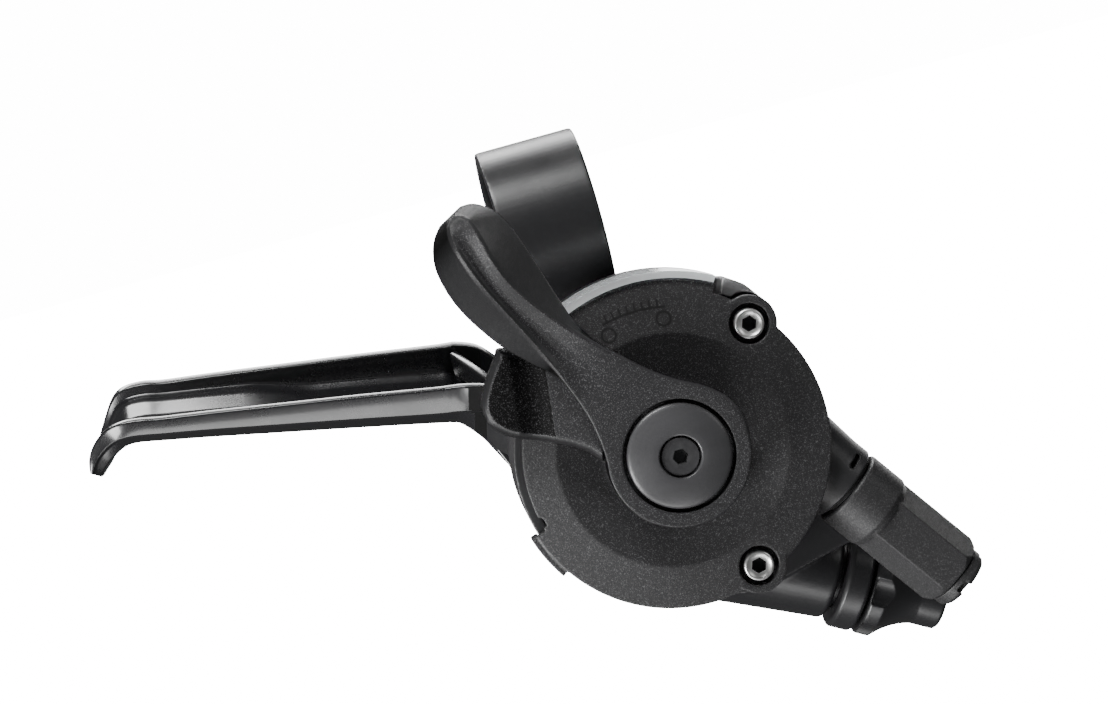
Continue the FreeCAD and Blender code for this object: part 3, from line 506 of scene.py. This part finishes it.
def fine_plastic(name, base, rough):
    """Plain moulded plastic with a fine matt bloom and faint flow lines."""
    paint = Paint(name, base, rough, Specular_IOR_Level=0.5)
    bloom = paint.noise(3600.0, 2.0)
    flow = paint.noise(60.0, 3.0, stretch=(1.0, 1.0, 4.0))
    paint.set("Base Color", paint.ramp(flow, [(0.3, base), (0.75, tinted(base, 1.3))]))
    paint.set("Roughness", paint.ramp(bloom, [(0.3, rough + 0.06), (0.7, rough - 0.05)]))
    paint.bump(bloom, 0.02, 0.4)
    return paint.material


def machined_metal(name, base, rough, metallic=1.0):
    """Plated or bare metal with fine turning marks and a little tarnish."""
    paint = Paint(name, base, rough, metallic)
    lines = paint.noise(1500.0, 3.0, stretch=(1.0, 6.0, 1.0))
    tarnish = paint.noise(300.0, 4.0)
    paint.set("Base Color", paint.ramp(tarnish, [(0.35, tinted(base, 0.72)), (0.65, base)]))
    paint.set("Roughness", paint.ramp(lines, [(0.3, rough + 0.10), (0.7, rough - 0.04)]))
    paint.bump(lines, 0.01, 0.4)
    return paint.material


def clear_lens(name):
    paint = Paint(name, (0.93, 0.96, 0.97), 0.10, Transmission_Weight=0.45, IOR=1.49)
    haze = paint.noise(700.0, 2.0)
    paint.set("Roughness", paint.ramp(haze, [(0.35, 0.06), (0.75, 0.20)]))
    return paint.material


PLASTIC = moulded_plastic("textured_black_plastic", (0.019, 0.019, 0.020), (0.095, 0.095, 0.098))
LEVER_PLASTIC = moulded_plastic("lever_black_plastic", (0.018, 0.018, 0.019),
                                (0.11, 0.11, 0.115), 0.46, steep=0.93)
# painted shade: a matt, nearly black alloy for the side of the lever's root by the bracket
ROOT_SHADE = cast_metal("root_painted_shade_alloy", (0.003, 0.003, 0.003), 0.7, 0.004, specular=0.12)
# painted shade: a darker, duller plastic for the hollow of the thumb rest
PAD_SHADE = moulded_plastic("thumb_rest_painted_shade_plastic", (0.003, 0.003, 0.003), (0.05, 0.05, 0.052), 0.6, 0.10)
INK = fine_plastic("printed_ink", (0.004, 0.004, 0.004), 0.5)
SOCKET = machined_metal("socket_shadow_steel", (0.015, 0.015, 0.016), 0.5, 0.0)
CAST = cast_metal("satin_black_alloy", (0.011, 0.011, 0.012), 0.37)
GLOSS = cast_metal("gloss_black_alloy", (0.008, 0.008, 0.009), 0.28, 0.002, 0.6)
ADJUSTER = moulded_plastic("adjuster_grey_plastic", (0.026, 0.026, 0.027), (0.07, 0.07, 0.072),
                           0.48)
HOUSING = fine_plastic("housing_grey_plastic", (0.020, 0.020, 0.021), 0.42)
# painted highlight: a lighter plastic for the housing's rounded shoulder, standing in for the light it catches
SHOULDER = fine_plastic("painted_highlight_housing_plastic", (0.048, 0.048, 0.049), 0.40)
CAP = fine_plastic("cap_satin_plastic", (0.042, 0.042, 0.044), 0.35)
ZINC = machined_metal("bright_zinc", (0.74, 0.74, 0.73), 0.33, 0.85)
BLACK_STEEL = machined_metal("black_oxide_steel", (0.075, 0.075, 0.078), 0.40, 0.6)
SATIN = cast_metal("satin_black_anodised", (0.012, 0.012, 0.013), 0.38, 0.003)
SPRING = machined_metal("spring_steel", (0.33, 0.33, 0.35), 0.34)
BRASS = machined_metal("turned_brass", (0.66, 0.50, 0.22), 0.30)
NYLON = fine_plastic("natural_nylon", (0.62, 0.61, 0.57), 0.5)
ORANGE = fine_plastic("signal_orange", (0.75, 0.22, 0.03), 0.42)
ACETAL = fine_plastic("black_acetal", (0.03, 0.03, 0.03), 0.4)
RUBBER = fine_plastic("soft_rubber", (0.008, 0.008, 0.008), 0.75)
LENS = clear_lens("clear_lens")

NODE_PAINT = {
    CAST: ["lever_bracket"],
    BLACK_STEEL: ["clamp_bolt", "pivot_bolt", "hub_screw"],
    ZINC: ["pivot_nut", "pod_screws", "cover_screws", "axle", "base_plate", "hold_pawl_pin",
           "drive_pawl_pin", "brake_cable_seat"],
    GLOSS: ["brake_lever"],
    SATIN: ["brake_adjuster", "brake_lock_ring"],
    ACETAL: ["pivot_bushes", "slip_washer"],
    BRASS: ["cable_anchor"],
    PLASTIC: ["front_cover"],
    HOUSING: ["rear_housing"],
    LEVER_PLASTIC: ["shift_lever", "release_lever"],
    LENS: ["indicator_lens"],
    SPRING: ["drive_sleeve", "ratchet_ring", "spool_spring", "lever_spring", "release_spring",
             "hold_pawl", "drive_pawl", "drive_carrier", "release_cam"],
    CAP: ["hub_cap"],
    NYLON: ["cable_spool"],
    ORANGE: ["indicator_flag"],
    ADJUSTER: ["gear_adjuster_knob", "gear_cable_seat"],
    RUBBER: ["adjuster_ring"],
}
PAINT_OF = {name: paint for paint, names in NODE_PAINT.items() for name in names}
for name, node in nodes.items():
    node.data.materials.clear()
    node.data.materials.append(PAINT_OF[name])
BODY_OF = {node: body for body, members in frame["record"]["behaviour"]["bodies"].items()
           for node in members}


def stand_for(piece, node):
    """Gives a piece the material and body of the CAD node that it stands for, and hides that node."""
    piece.data.materials.clear()
    piece.data.materials.append(PAINT_OF[node])
    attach(piece, BODY_OF[node])
    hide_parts(node)
    return piece


# ------------------------------------------------------------------ castings and mouldings

SKINS = [  # node, voxel in mm, smoothing passes, share of the triangles that is kept
    ("lever_bracket", 0.24, 8, 0.35), ("rear_housing", 0.18, 3, 0.4),
    ("front_cover", 0.14, 3, 0.4), ("gear_adjuster_knob", 0.13, 3, 0.4),
    ("gear_cable_seat", 0.14, 3, 0.4), ("brake_adjuster", 0.12, 9, 0.4),
    ("brake_lock_ring", 0.12, 9, 0.4)]
SKIN_OF = {node: stand_for(melt(node + "_skin", [nodes[node]], voxel, passes, keep), node)
           for node, voxel, passes, keep in SKINS}

SCREW_SPOTS = [polar(21.05, 43.3), polar(21.05, -68.8)]
SHOULDER_EDGE = [  # angle round the shifter's axis, radius of the swollen edge
    (40.0, 25.15), (44.5, 25.35), (50.0, 25.85), (55.0, 25.75), (58.5, 25.2)]


def swell_shoulder(piece):
    """The housing swells into a rounded shoulder beside the upper cover screw, with a painted highlight on it."""
    inner, outer = 23.15, 25.7  # radii between which the wall is stretched
    foot, low, top = 13.9, 20.0, 24.7  # where the wall, the crown and the flat shelf lie forwards
    screw_room = 4.5
    angles = [angle for angle, _ in SHOULDER_EDGE]
    for vert in piece.data.vertices:
        x, y, f = pod_place(vert.co)
        radius, angle = math.hypot(x, y), math.degrees(math.atan2(y, x))
        if radius < inner or not angles[0] < angle < angles[-1] or f < foot:
            continue
        k = max(i for i in range(len(angles) - 1) if angles[i] <= angle)
        (a, ra), (b, rb) = SHOULDER_EDGE[k], SHOULDER_EDGE[k + 1]
        edge = ra + (rb - ra) * (angle - a) / (b - a)
        radius = inner + (radius - inner) * (edge - inner) / (outer - inner)
        if f > low and math.dist((x, y), SCREW_SPOTS[0]) > screw_room:
            crest = 25.6 - 0.55 * max(0.0, radius - 23.3) ** 2
            f = low + (f - low) * (crest - low) / (top - low)
        vert.co = pod(*polar(radius, angle), f)
    # painted highlight: the shoulder's faces take the lighter plastic
    piece.data.materials.append(SHOULDER)
    for face in piece.data.polygons:
        x, y, f = pod_place(face.center)
        angle = math.degrees(math.atan2(y, x))
        if math.hypot(x, y) > inner and angles[0] < angle < angles[-1] and f > low:
            face.material_index = 1
    piece.data.update()


swell_shoulder(SKIN_OF["rear_housing"])


def cover_marks():
    """A printed scale on the cover's crown: an arc, eight ticks and a ring at each end."""
    scale_radius, ring_radius = 20.6, 18.9
    line, tick_line = 0.14, 0.13  # half widths
    verts, faces = [], []

    def crown(radius):
        """How far forwards the ink lies, just above the cover's slope."""
        return 27.44 - (radius - 16.8) * 0.188

    def strip(points, half):
        start = len(verts)
        for k, (x, y) in enumerate(points):
            ahead, behind = points[min(k + 1, len(points) - 1)], points[max(k - 1, 0)]
            way = Vector((ahead[0] - behind[0], ahead[1] - behind[1])).normalized()
            for side in (1, -1):
                px, py = x - way.y * half * side, y + way.x * half * side
                verts.append(pod(px, py, crown(math.hypot(px, py))))
        for k in range(len(points) - 1):
            n = start + 2 * k
            faces.append((n, n + 1, n + 3, n + 2))

    strip([polar(scale_radius, a) for a in range(78, 105)], line)
    for a in range(81, 103, 3):
        strip([polar(r, a) for r in (scale_radius, 21.1, 21.7)], tick_line)
    for a in (104.0, 79.0):
        strip(arc(*polar(ring_radius, a), 1.0, 0, 361, 15), line)
    marks = mesh_piece("cover_scale", verts, faces)
    marks.data.materials.append(INK)
    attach(marks, BODY_OF["front_cover"])


cover_marks()

CAP_PROFILE = [  # radius, forwards
    (1.6, 33.2), (1.6, 33.7), (3.0, 35.0), (3.0, 35.55), (3.06, 35.66), (3.25, 35.7),
    (4.2, 35.6), (5.2, 35.4), (6.1, 35.16), (6.8, 34.94), (7.15, 34.8), (7.35, 34.66),
    (7.44, 34.5), (7.45, 34.4), (7.45, 33.2)]


def hub_cap():
    """The cap on the levers' axis: a low dome round the sunk screw's hole."""
    cap = lathe("hub_cap_turned", CAP_PROFILE)
    soften(cap, 50)
    return cap


stand_for(hub_cap(), "hub_cap")

HEAD_PROFILE = [  # radius, and how far behind the head's face
    (0, 2.4), (2.2, 2.4), (2.2, 0.3), (2.1, 0.08), (1.98, 0), (1.82, 0), (1.7, 0.12),
    (1.2, 0.34), (0, 0.34)]
SHANK_PROFILE = [(0, 9.8), (1.25, 9.8), (1.25, 2.3), (0, 2.3)]
SOCKET_CORNER = 1.16  # mm from the screw's middle to a corner of its hexagon


def cover_screws():
    """Two cap screws with a turned rim and a hexagon socket, on the CAD's own places."""
    head = -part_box("cover_screws")[0][1] / MM
    pieces = []
    for x, y in SCREW_SPOTS:
        spot = pod(x, y, 0)
        turned = lathe("screw_head", [(r, head - behind) for r, behind in HEAD_PROFILE], spot, 48)
        hexagon = arc(x, y, SOCKET_CORNER, 12, 372, 60)
        carve(turned, prism("screw_socket", hexagon, head - 1.5, head + 1.0))
        shank = lathe("screw_shank", [(r, head - behind) for r, behind in SHANK_PROFILE], spot, 24)
        pieces += [turned, shank]
    screws = join("cover_screws_turned", pieces)
    soften(screws, 30)
    stand_for(screws, "cover_screws")
    screws.data.materials.append(SOCKET)
    for face in screws.data.polygons:
        x, y, f = pod_place(face.center)
        away = min(math.dist((x, y), screw) for screw in SCREW_SPOTS)
        if away < SOCKET_CORNER + 0.01 and head - 1.6 < f < head - 0.36:
            face.material_index = 1


cover_screws()


# ------------------------------------------------------------------ shift lever

ARM_ANGLE = 118.5  # degrees round the axis, where the arm points at rest
ARM_FOOT = 32.0
ARM_STATIONS = [  # place along the arm, ridge left, right and forwards, foot left and right
    (-7.0, -7.4, 7.4, 34.4, -7.4, 7.4), (-4.2, -9.3, 9.5, 34.4, -9.3, 9.5),
    (-1.4, -10.05, 10.5, 34.4, -10.05, 10.5), (1.0, -9.75, 10.55, 34.4, -9.75, 10.55),
    (3.0, -9.3, 10.0, 34.4, -9.3, 10.0), (5.2, -8.55, 8.95, 34.4, -8.55, 8.95),
    (8.2, -7.0, 7.0, 34.4, -7.0, 7.0),
    (11.9, -5.6, 5.2, 34.4, -5.6, 5.2), (15.6, -4.8, 3.9, 34.45, -4.9, 4.0),
    (19.8, -4.3, 2.5, 34.8, -4.6, 2.8), (24.0, -4.1, 1.3, 35.4, -6.0, 2.6),
    (28.0, -4.0, 0.5, 36.5, -7.2, 3.2), (31.5, -3.9, 0.0, 37.6, -7.7, 3.9),
    (35.0, -3.8, -0.1, 38.7, -7.9, 4.6), (38.5, -3.5, 0.4, 39.6, -7.6, 5.2),
    (42.0, -2.9, 1.3, 39.9, -6.6, 5.3), (44.2, -2.2, 1.7, 39.4, -5.2, 4.6),
    (45.6, -1.4, 1.4, 38.6, -3.6, 3.6), (46.4, -0.6, 0.9, 37.6, -1.8, 2.2)]
HUB_PROFILE = [(4.25, 30.75), (10.25, 30.75), (10.25, 34.4), (8.0, 34.4), (8.0, 33.2),
               (4.25, 33.2)]


def arm_point(along, across, f):
    ax, ay = polar(along, ARM_ANGLE)
    bx, by = polar(across, ARM_ANGLE - 90)
    return pod(ax + bx, ay + by, f)


def arm_ring(station):
    """A section across the arm: sloping flanks, an eased left edge and a scooped ridge."""
    along, left, right, top, foot_left, foot_right = station
    knee = ARM_FOOT + 0.9
    scoop = 0.75 * fade((along - 14.0) / 8.0) * fade((46.0 - along) / 4.0)
    ease = 0.15 + 0.27 * fade((along - 18.0) / 8.0)
    points = [(foot_left, ARM_FOOT), (foot_left, knee), (left - 0.12, top - ease),
              (left + ease, top - 0.02)]
    points += [(left + (right - left) * t, top - scoop * dip)
               for t, dip in ((0.2, 0.7), (0.35, 1.0), (0.55, 0.85), (0.8, 0.35))]
    points += [(right - 0.3, top - 0.05), (right + 0.12, top - 0.45), (foot_right, knee),
               (foot_right, ARM_FOOT)]
    return [arm_point(along, across, f) for across, f in points]


def shift_lever():
    """The thumb lever: its arm and pad, melted onto the hub ring round the cap."""
    arm = loft("arm", [arm_ring(station) for station in along_curve(ARM_STATIONS, 150)])
    carve(arm, plug("recess", 8.0, 33.2, 60), plug("core", 9.0, 20, 33.25))
    hub = lathe("hub", rounded(HUB_PROFILE, 0.35))
    return melt("shift_lever_moulding", [arm, hub], 0.13, 4, 0.35)


stand_for(shift_lever(), "shift_lever")


# ------------------------------------------------------------------ release lever

RELEASE_EDGE = [(-8.2, 0.4), (-10.0, 1.2), (-11.8, 3.3), (-14.2, 5.0), (-17.3, 6.5), (-21.4, 8.3),
                (-23.4, 9.8), (-24.6, 11.4), (-24.8, 13.9), (-23.6, 16.6), (-21.3, 19.8),
                (-19.9, 21.0), (-14.5, 17.8), (-8.5, 11.5), (-4.6, 7.2)]
RELEASE_CURVE = along_curve(RELEASE_EDGE, 112)
RELEASE_BACK, RELEASE_FRONT = 28.35, 31.8
RELEASE_ROUND = 1.3  # radius that rounds the front face's edge
RELEASE_HUB = [(4.28, 23.3), (6.0, 23.3), (6.0, 28.3), (9.6, 28.3), (9.6, 30.4), (4.28, 30.4)]
CUT_STEP, CUT_ACROSS, CUT_UP = 0.30, 76, 80  # the cutting grid's pitch in mm, columns and rows
CUT_LEFT, CUT_LOW, CUT_FRONT = -26.0, -1.0, 40.0


def edge_distance(x, y):
    """How far a point lies from the release lever's outline."""
    best = 99.0
    for k in range(len(RELEASE_CURVE) - 1):
        (ax, ay), (bx, by) = RELEASE_CURVE[k], RELEASE_CURVE[k + 1]
        dx, dy = bx - ax, by - ay
        t = fade(((x - ax) * dx + (y - ay) * dy) / (dx * dx + dy * dy + 1e-9))
        best = min(best, math.hypot(x - ax - t * dx, y - ay - t * dy))
    return best


def rest_share(x, y):
    """Below 0 on the hub's side of the valley, and from 0 to about 1 along the thumb rest."""
    return (-15.3 - x + 0.12 * (y - 12)) / 8.3


def release_height(x, y):
    """The front face: it falls from the hub to a valley, then climbs to the thumb rest's rim."""
    u = rest_share(x, y)
    if u <= 0:
        height = 31.6 - 0.35 * fade(1.0 + u / 0.62) ** 1.2
    else:
        height = 31.25 - 0.7 * math.sin(math.pi * min(1.0, u / 0.6)) + 0.45 * min(1.0, u / 0.88)
    inset = min(RELEASE_ROUND, edge_distance(x, y))
    drop = math.sqrt(RELEASE_ROUND * RELEASE_ROUND - (RELEASE_ROUND - inset) ** 2)
    return height - (RELEASE_ROUND - drop)


def release_cutter():
    """A closed block that holds everything in front of the release lever's face."""
    block = bmesh.new()
    grid = {}
    for i in range(CUT_ACROSS):
        for j in range(CUT_UP):
            x, y = CUT_LEFT + i * CUT_STEP, CUT_LOW + j * CUT_STEP
            grid[i, j] = block.verts.new(pod(x, y, release_height(x, y)))
            grid[i, j, 1] = block.verts.new(pod(x, y, CUT_FRONT))
    for i in range(CUT_ACROSS - 1):
        for j in range(CUT_UP - 1):
            block.faces.new((grid[i, j], grid[i + 1, j], grid[i + 1, j + 1], grid[i, j + 1]))
            block.faces.new((grid[i, j, 1], grid[i, j + 1, 1], grid[i + 1, j + 1, 1],
                             grid[i + 1, j, 1]))
    rim = [((i, 0), (i + 1, 0)) for i in range(CUT_ACROSS - 1)]
    rim += [((i + 1, CUT_UP - 1), (i, CUT_UP - 1)) for i in range(CUT_ACROSS - 1)]
    rim += [((0, j + 1), (0, j)) for j in range(CUT_UP - 1)]
    rim += [((CUT_ACROSS - 1, j), (CUT_ACROSS - 1, j + 1)) for j in range(CUT_UP - 1)]
    for a, b in rim:
        block.faces.new((grid[a], grid[a + (1,)], grid[b + (1,)], grid[b]))
    bmesh.ops.recalc_face_normals(block, faces=block.faces)
    mesh = bpy.data.meshes.new("release_cut")
    block.to_mesh(mesh)
    block.free()
    cutter = bpy.data.objects.new("release_cut", mesh)
    bpy.context.scene.collection.objects.link(cutter)
    return cutter


def release_lever():
    """The second trigger: a slab cut to its hollow front face, melted onto its hub."""
    body = prism("release_slab", RELEASE_CURVE, RELEASE_BACK, RELEASE_FRONT)
    carve(body, plug("release_clear", 10.5, 30.4, 60), plug("release_core", 9.0, 20, 50))
    carve(body, release_cutter())
    hub = lathe("release_hub", rounded(RELEASE_HUB, 0.3))
    return melt("release_lever_moulding", [body, hub], 0.16, 4, 0.4)


def paint_pad_shade(piece):
    """The thumb rest inside its rim is painted duller and darker than the rest of the lever, as painted shade for
    its hollow that turns away from the light.
    """
    piece.data.materials.append(PAD_SHADE)
    for face in piece.data.polygons:
        x, y, _ = pod_place(face.center)
        if rest_share(x, y) > 0 and face.normal.y < -0.8 and edge_distance(x, y) > 1.0:
            face.material_index = 1


paint_pad_shade(stand_for(release_lever(), "release_lever"))


# ------------------------------------------------------------------ brake lever

BLADE = [  # lower near edge x, y, heading, width, rib, plate, depth of that edge, floor, roll
    (-21.0, -1.0, 168, 8.6, 3.1, 11.0, 4.8, 1.2, 26),
    (-22.6, 1.2, 168, 9.6, 3.5, 9.8, 5.2, 1.2, 26),
    (-24.0, 3.9, 168, 11.6, 4.0, 7.4, 5.8, 0.8, 26),
    (-25.4, 6.5, 168, 13.2, 4.3, 4.9, 6.2, 0.5, 26),
    (-27.6, 9.1, 168, 14.0, 4.3, 2.6, 6.3, 0.4, 26),
    (-29.0, 9.8, 168, 14.0, 4.25, 2.1, 6.3, 1.3, 26),
    (-31.5, 10.4, 168, 13.9, 4.2, 1.9, 6.3, 1.3, 26),
    (-42.0, 12.75, 168, 13.4, 3.8, 1.8, 6.3, 1.3, 26),
    (-53.0, 15.15, 168, 12.9, 3.3, 1.7, 6.3, 1.2, 26),
    (-64.0, 17.55, 168, 12.4, 2.8, 1.6, 6.3, 1.1, 26),
    (-71.0, 19.0, 168, 12.1, 2.5, 1.5, 6.3, 1.0, 26),
    (-74.2, 19.65, 170, 12.1, 2.5, 1.5, 6.3, 1.0, 26),
    (-76.2, 19.85, 181, 12.0, 2.4, 1.5, 6.3, 1.0, 22),
    (-77.9, 19.6, 196, 11.5, 2.1, 1.5, 6.2, 1.0, 8),
    (-79.6, 18.8, 209, 10.9, 1.7, 1.4, 6.1, 1.0, 0),
    (-80.9, 17.8, 221, 10.0, 1.1, 1.2, 5.9, 0.9, -2),
    (-81.8, 16.7, 232, 8.4, 0.4, 0.9, 5.5, 0.7, 0)]
NECK_HALF = 4.9  # half the neck's thickness, between the bracket's ears
PIVOT_ROUND, PIVOT_BORE = 7.5, 4.6
EYE_ROUND, EYE_BORE = 6.1, 4.06


def blade_ring(station):
    """U section: a rim on each side, a channel between them, and a rounded outer face below."""
    x, y, heading, width, rib, plate, near, floor_height, roll = station
    top, roll = plate + rib, math.radians(roll)
    crown = fade((-50.0 - x) / 8.0) * fade((rib - 0.9) / 1.2)
    near_half = [(1.2, -0.45), (0.45, plate - 0.3), (0.0, plate), (0.16, top), (1.3, top),
                 (1.42, floor_height + 0.5), (2.0, floor_height)]
    channel = [(0.54 * width, floor_height - 0.1), (0.70 * width, floor_height + 1.2 * crown),
               (0.77 * width, floor_height + 1.4 * crown),
               (width - 1.8, floor_height + 0.5 + 1.0 * crown)]
    far_half = [(width - 1.65, top), (width - 0.16, top), (width, plate),
                (width - 0.45, plate - 0.3), (width - 1.2, -0.45)]
    corners = near_half + channel + far_half + [(width / 2, -0.6)]
    nx, ny = polar(1.0, heading - 90)
    ring = []
    for along, above in rounded(corners, 0.32, 3, True):
        rise = math.sin(roll) * along + math.cos(roll) * above
        depth = near - math.cos(roll) * along + math.sin(roll) * above
        ring.append(pod(x + nx * rise, y + ny * rise, depth))
    return ring


def slanted_wall(name, ends, low, high, thick):
    """A thin upright rib between two (x, y, f) ends, low and high measured upwards."""
    (ax, _, af), (bx, _, bf) = ends
    across = Vector((bx - ax, bf - af)).normalized()
    off = Vector((-across.y, across.x)) * thick / 2
    verts = [pod(x + off.x * sign, y + rise, f + off.y * sign)
             for x, y, f in ends for sign in (-1, 1) for rise in (low, high)]
    faces = [(0, 1, 3, 2), (4, 6, 7, 5), (0, 4, 5, 1), (2, 3, 7, 6), (0, 2, 6, 4), (1, 5, 7, 3)]
    return mesh_piece(name, verts, faces)


def joint_spot(name):
    x, _, z = joints[name]["pos_m"]
    return (x - HUB.x) / MM, (z - HUB.z) / MM


def lever_neck():
    """The thick end that hangs between the bracket's ears, with its pivot bore and cable eye."""
    px, py = joint_spot("brake_lever_swing")
    ex, ey = joint_spot("cable_anchor_turn")
    outline = [(-23.6, 5.6), (-19.8, 11.0), (-17.5, 14.5), (px - 3.2, py + 6.8)]
    outline += arc(px, py, PIVOT_ROUND, 90, -91, -12)
    outline += arc(ex, ey, EYE_ROUND, -20, -191, -15)
    outline += [(-22.6, 1.5), (-24.2, 5.4)]
    neck = prism("lever_neck", outline, -NECK_HALF, NECK_HALF)
    carve(neck, plug("neck_bore", PIVOT_BORE, -20, 20, pod(px, py, 0), 48),
          plug("neck_eye", EYE_BORE, -20, 20, pod(ex, ey, 0), 48))
    bevel(neck, 0.5)
    return neck


def brake_lever():
    """The finger blade, the rib across its root and the neck, in one piece."""
    blade = loft("blade", [blade_ring(station) for station in along_curve(BLADE, 110)])
    rib = slanted_wall("cross_rib", [(-26.0, 19.3, -1.8), (-21.7, 14.5, 6.2)], -3.5, 0.5, 1.6)
    bevel(rib, 0.4)
    lever = join("brake_lever_forging", [blade, rib, lever_neck()])
    soften(lever, 40)
    return lever


def paint_root_shade(piece):
    """The side of the web by the bracket is painted matt and dark, as painted shade for the recess there."""
    piece.data.materials.append(ROOT_SHADE)
    for face in piece.data.polygons:
        x, y, _ = pod_place(face.center)
        if x > -25.9 and y > 8.2 and face.normal.y < -0.6:
            face.material_index = 1


paint_root_shade(stand_for(brake_lever(), "brake_lever"))
